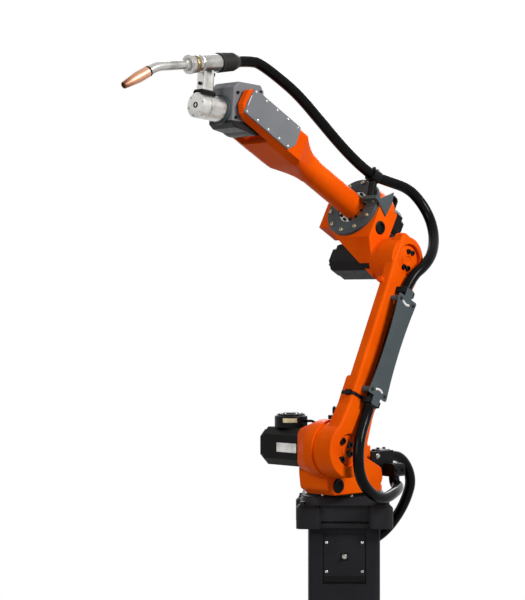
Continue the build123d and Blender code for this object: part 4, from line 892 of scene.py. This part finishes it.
# %% Screws of the arm's motors
ELBOW_CAP = [(x, -92, z) for x, z in corners(26, 26)]
add_seated("elbow_motor_cap_screws", MOTOR_CAP_SCREW, ELBOW, BACK_Y, ELBOW_CAP, BLACK_OXIDE, "arm")
BIG_CAP = [(-82, y, 157 + z) for y, z in corners(21, 21)]
SMALL_CAPS = [(-72, side + y, 81 + z) for side in (-33, 33) for y, z in corners(12, 12)]
add_seated("roll_motor_cap_screws", cap_screw(3.4, 3.4), ELBOW, BACK_X, BIG_CAP + SMALL_CAPS, BLACK_OXIDE, "arm")
FLANGE_SCREW = cap_screw(4.4, 4.6)
ROLL_FLANGE = [(8, 67, 125), (8, -67, 125), (8, 58, 158), (8, -58, 158)]
add_seated("rear_flange_screws", FLANGE_SCREW, ELBOW, BACK_X, ROLL_FLANGE, STEEL, "arm")
PLUG_RING = fluted([(0, -SUNK), (14, -SUNK), (14, 4), (12.5, 5), (9, 5), (8, 9), (0, 9)], 20, 0.6, (1, 2))
add_seated("roll_motor_plug_caps", PLUG_RING, ELBOW, Z, [(-16, -19, 224), (-16, 19, 224)], PLASTIC, "arm")

# %% [markdown]
# ## Forearm
# The tube is screwed to its bearing by a ring of dark screws at the root. Grey plates close the belt drives on
# both sides of the wrist: ten low screws each, in two rows that follow the plate's edges.

# %% Forearm pieces
FLANGE_SCREWS = ring_of(12, 45.2, (107.4, 0, 0), 0, 10)
add_seated("forearm_flange_screws", FLANGE_SCREW, FOREARM, X, FLANGE_SCREWS, BLACK_OXIDE, "forearm")
PLATE_FACE = 79
PLATE_TOP = [(x, 36.5) for x in (50, 3, -44, -91, -138)]
PLATE_LOW = [(x, -30) for x in (53, 7, -40, -87, -128)]
for side, out, face in (("left", Y, PLATE_FACE), ("right", BACK_Y, -PLATE_FACE)):
    add_seated("wrist_plate_screws_" + side, button_screw(4.4, 2.6), WRIST_SEAT, out,
               [(x, face, z) for x, z in PLATE_TOP + PLATE_LOW], STEEL, "forearm")
# The white crescent at the plate's front edge is a painted highlight of that edge.
CRESCENT = plate(1.1, 17, 1, [(0, -SUNK), (0, 0.3), (0.2, 0.5)])
add_seated("wrist_plate_mark", CRESCENT, WRIST_SEAT, Y, [(59.5, PLATE_FACE, 3)], WHITE_MARK_AND_HIGHLIGHT, "forearm")

# %% [markdown]
# ## Wrist and collision sensor
# The swivel has black screws in its cheeks. The bright drum in front of it is a spring-loaded coupling that gives
# way when the torch hits something: six small screws and a closed centre hole on its front.

# %% Wrist pieces
CHEEK_FACE, SENSOR_FACE = 48.5, 184
for side, out, face in (("left", Y, CHEEK_FACE), ("right", BACK_Y, -CHEEK_FACE)):
    add_seated("wrist_cheek_screws_" + side, cap_screw(4.6, 4), WRIST, out,
               [(74, face, 48), (76, face, -22), (-12, face, 62)], BLACK_OXIDE, "wrist")
SENSOR_SCREWS = ring_of(6, 29.5, (SENSOR_FACE, 0, 0), 0, 15)
add_seated("sensor_front_screws", cap_screw(2.4, 2), WRIST, X, SENSOR_SCREWS, STEEL, "tool")
CENTRE = turned([(0, -SUNK), (8.5, -SUNK), (8.5, 1), (7.5, 1.6), (5, 1.6), (5, -0.2), (0, -0.2)], 32)
add_seated("sensor_centre", CENTRE, WRIST, X, [(SENSOR_FACE, 0, 0)], BLACK_OXIDE, "tool")
add_seated("torch_bracket_screws", cap_screw(5, 5), WRIST, X, [(171, 0, 62)], BLACK_OXIDE, "tool")
ROD = turned([(0, -SUNK), (6, -SUNK), (6, 9), (4, 10), (4, 46), (6.5, 47), (6.5, 56), (0, 56)], 24)
add_seated("torch_bracket_rod", ROD, WRIST, Z, [(126, 0, 42)], BLACK_OXIDE, "tool")

# %% [markdown]
# ## Torch
# A welding torch is a stack of turned parts: a rubber boot that keeps the hose from kinking, a clamped body, a
# union nut, a bent neck, a black insulator and the copper gas nozzle with the contact tip inside. The boot has
# soft ribs, r(x) = r0(x) - 0.9 (1 - cos(2 pi x / 8.8)), so it replaces the plain solid.

# %% Torch boot
BOOT_START, BOOT_END, RIB_START, RIB_END = -50, -122, -57, -101
RIB_PITCH, RIB_DEPTH = 8.8, 0.9
x = np.linspace(BOOT_START, BOOT_END, 73)
r = np.interp(-x, [50, 104, 112, 122], [28, 26, 23, 19])
wave = RIB_DEPTH * (1 - np.cos(2 * np.pi * (x - RIB_START) / RIB_PITCH))
r = r - np.where((x < RIB_START) & (x > RIB_END), wave, 0)
boot = turned(np.r_[[(0, 0)], np.c_[r, BOOT_START - x], [(0, BOOT_START - BOOT_END)]], 48)
boot_piece = add_seated("torch_boot_ribbed", boot, TORCH, BACK_X, [(BOOT_START, 0, 0)], RUBBER, "tool")
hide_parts("torch_boot")

# %% Torch rings, nuts and tip
UNION = turned([(20, 0), (25.6, 0), (26.8, 1.2), (26.8, 7), (25.6, 8.2), (25.6, 11), (26.4, 11.8), (20, 12.5),
                (20, 0)], 48)
add_seated("torch_union_ring", UNION, TORCH, X, [(50, 0, 0)], STEEL, "tool")
COLLAR = fluted([(21, 0), (23.6, 0), (24, 1), (24, 12), (23.6, 13), (21, 13), (21, 0)], 24, 0.4, (1, 2, 3, 4))
add_seated("torch_brass_collar", COLLAR, TORCH, X, [(31, 0, 0)], BRASS, "tool")
NECK_NUT = turned([(12.5, 0), (15.5, 0), (15.5, 11), (14, 13), (12.5, 13), (12.5, 0)], 48, hexed=(1, 2))
add_seated("torch_neck_nut", NECK_NUT, TORCH, X, [(64, 0, 0)], STEEL, "tool")
NECK_BEND, NECK_END, NECK_SLANT = 176, 40, 20
NOZZLE = TORCH @ shift(NECK_BEND, 0, 0) @ turn_y(NECK_SLANT) @ shift(NECK_END, 0, 0)
INSULATOR = turned([(12.6, 0), (15.2, 0.6), (15.2, 6), (12.6, 6.6), (12.6, 0)], 40)
add_seated("torch_insulator", INSULATOR, NOZZLE, X, [(-7, 0, 0)], PLASTIC, "tool")
TIP = turned([(0, -SUNK), (4.2, -SUNK), (4.2, 16), (2.4, 23), (0.9, 23.5), (0.9, 30), (0, 30)], 24)
add_seated("torch_contact_tip", TIP, NOZZLE, X, [(66, 0, 0)], COPPER, "tool")

# %% [markdown]
# ## Light and background
# A large lamp above and to the right of the camera does most of the work, as in the picture: faces turned to it
# are bright orange and the ones turned down and left go deep red. A weak fill from the left keeps the black motors
# readable, and a third lamp lights the back. The background is white for the camera and for reflections only,
# through Light Path, so that it lights the paint only weakly. The floor is darker for the light that bounces off
# it than for the eye, for the same reason, and near the robot it is plain and keeps the shadow.

# %% World
def seen_or_mirrored(tree):
    """1 for rays that the eye follows straight, in a mirror or through glass, else 0."""
    rays = add_node(tree, "ShaderNodeLightPath").outputs
    mirrored = add_node(tree, "ShaderNodeMath", {0: rays["Is Glossy Ray"], 1: rays["Is Transmission Ray"]},
                        operation="MAXIMUM")
    return add_node(tree, "ShaderNodeMath", {0: rays["Is Camera Ray"], 1: mirrored}, operation="MAXIMUM")


AMBIENT = 0.18
WHITE = (1, 1, 1, 1)
world = bpy.data.worlds.new("studio")
world.use_nodes = True
bpy.context.scene.world = world
sky = world.node_tree
sky.nodes.clear()
level = add_node(sky, "ShaderNodeMapRange", {"Value": seen_or_mirrored(sky), "To Min": AMBIENT, "To Max": 1.0})
glow = add_node(sky, "ShaderNodeBackground", {"Color": WHITE, "Strength": level})
add_node(sky, "ShaderNodeOutputWorld", {"Surface": glow})
print("world light", AMBIENT, "and white to the eye")

# %% Floor
FLOOR_HALF = 40
PLAIN_WITHIN, WHITE_BEYOND = 0.7, 1.6
floor_mesh = bpy.data.meshes.new("floor")
floor_mesh.from_pydata([(x, y, 0) for x, y in corners(FLOOR_HALF, FLOOR_HALF)], [], [(0, 2, 3, 1)])
floor = bpy.data.objects.new("floor", floor_mesh)
bpy.context.scene.collection.objects.link(floor)
# Painted studio floor: pale and matt, it shows only the soft shadow.
pale, tree, shader, where = new_material("pale_studio_floor")
rays = add_node(tree, "ShaderNodeLightPath").outputs
bounce = add_node(tree, "ShaderNodeMix", {0: rays["Is Diffuse Ray"], 6: linear("#F4F4F2"), 7: linear("#8E8E8E")},
                  data_type="RGBA")
feed(tree, shader, {"Base Color": bounce.outputs[2], "Roughness": 0.9})
away = add_node(tree, "ShaderNodeVectorMath", {0: where}, operation="LENGTH")
far = add_node(tree, "ShaderNodeMapRange", {
    "Value": away.outputs["Value"], "From Min": PLAIN_WITHIN, "From Max": WHITE_BEYOND},
    interpolation_type="SMOOTHSTEP")
white = add_node(tree, "ShaderNodeMath", {0: far, 1: seen_or_mirrored(tree)}, operation="MULTIPLY")
paper = add_node(tree, "ShaderNodeEmission", {"Color": WHITE, "Strength": 1.0})
blend = add_node(tree, "ShaderNodeMixShader", {0: white, 1: shader, 2: paper})
feed(tree, tree.nodes["Material Output"], {"Surface": blend})
floor_mesh.materials.append(pale)
print("floor plain within", PLAIN_WITHIN, "m of the robot")

# %% Lamps
LAMP_TARGET = Vector((0, 0, 1.1))


def add_area(name, place, size, power):
    """A square lamp at a place, turned to the middle of the robot."""
    lamp = bpy.data.lights.new(name, "AREA")
    lamp.size, lamp.energy = size, power
    holder = bpy.data.objects.new(name, lamp)
    look = (LAMP_TARGET - Vector(place)).to_track_quat("-Z", "Y").to_matrix().to_4x4()
    holder.matrix_world = Matrix.Translation(place) @ look
    bpy.context.scene.collection.objects.link(holder)


add_area("key", (2.8, 3.6, 3.9), 1.6, 260)
add_area("fill", (3.6, -3.2, 3.2), 2.5, 95)
add_area("back", (-4.2, 0.4, 3.4), 2.5, 120)
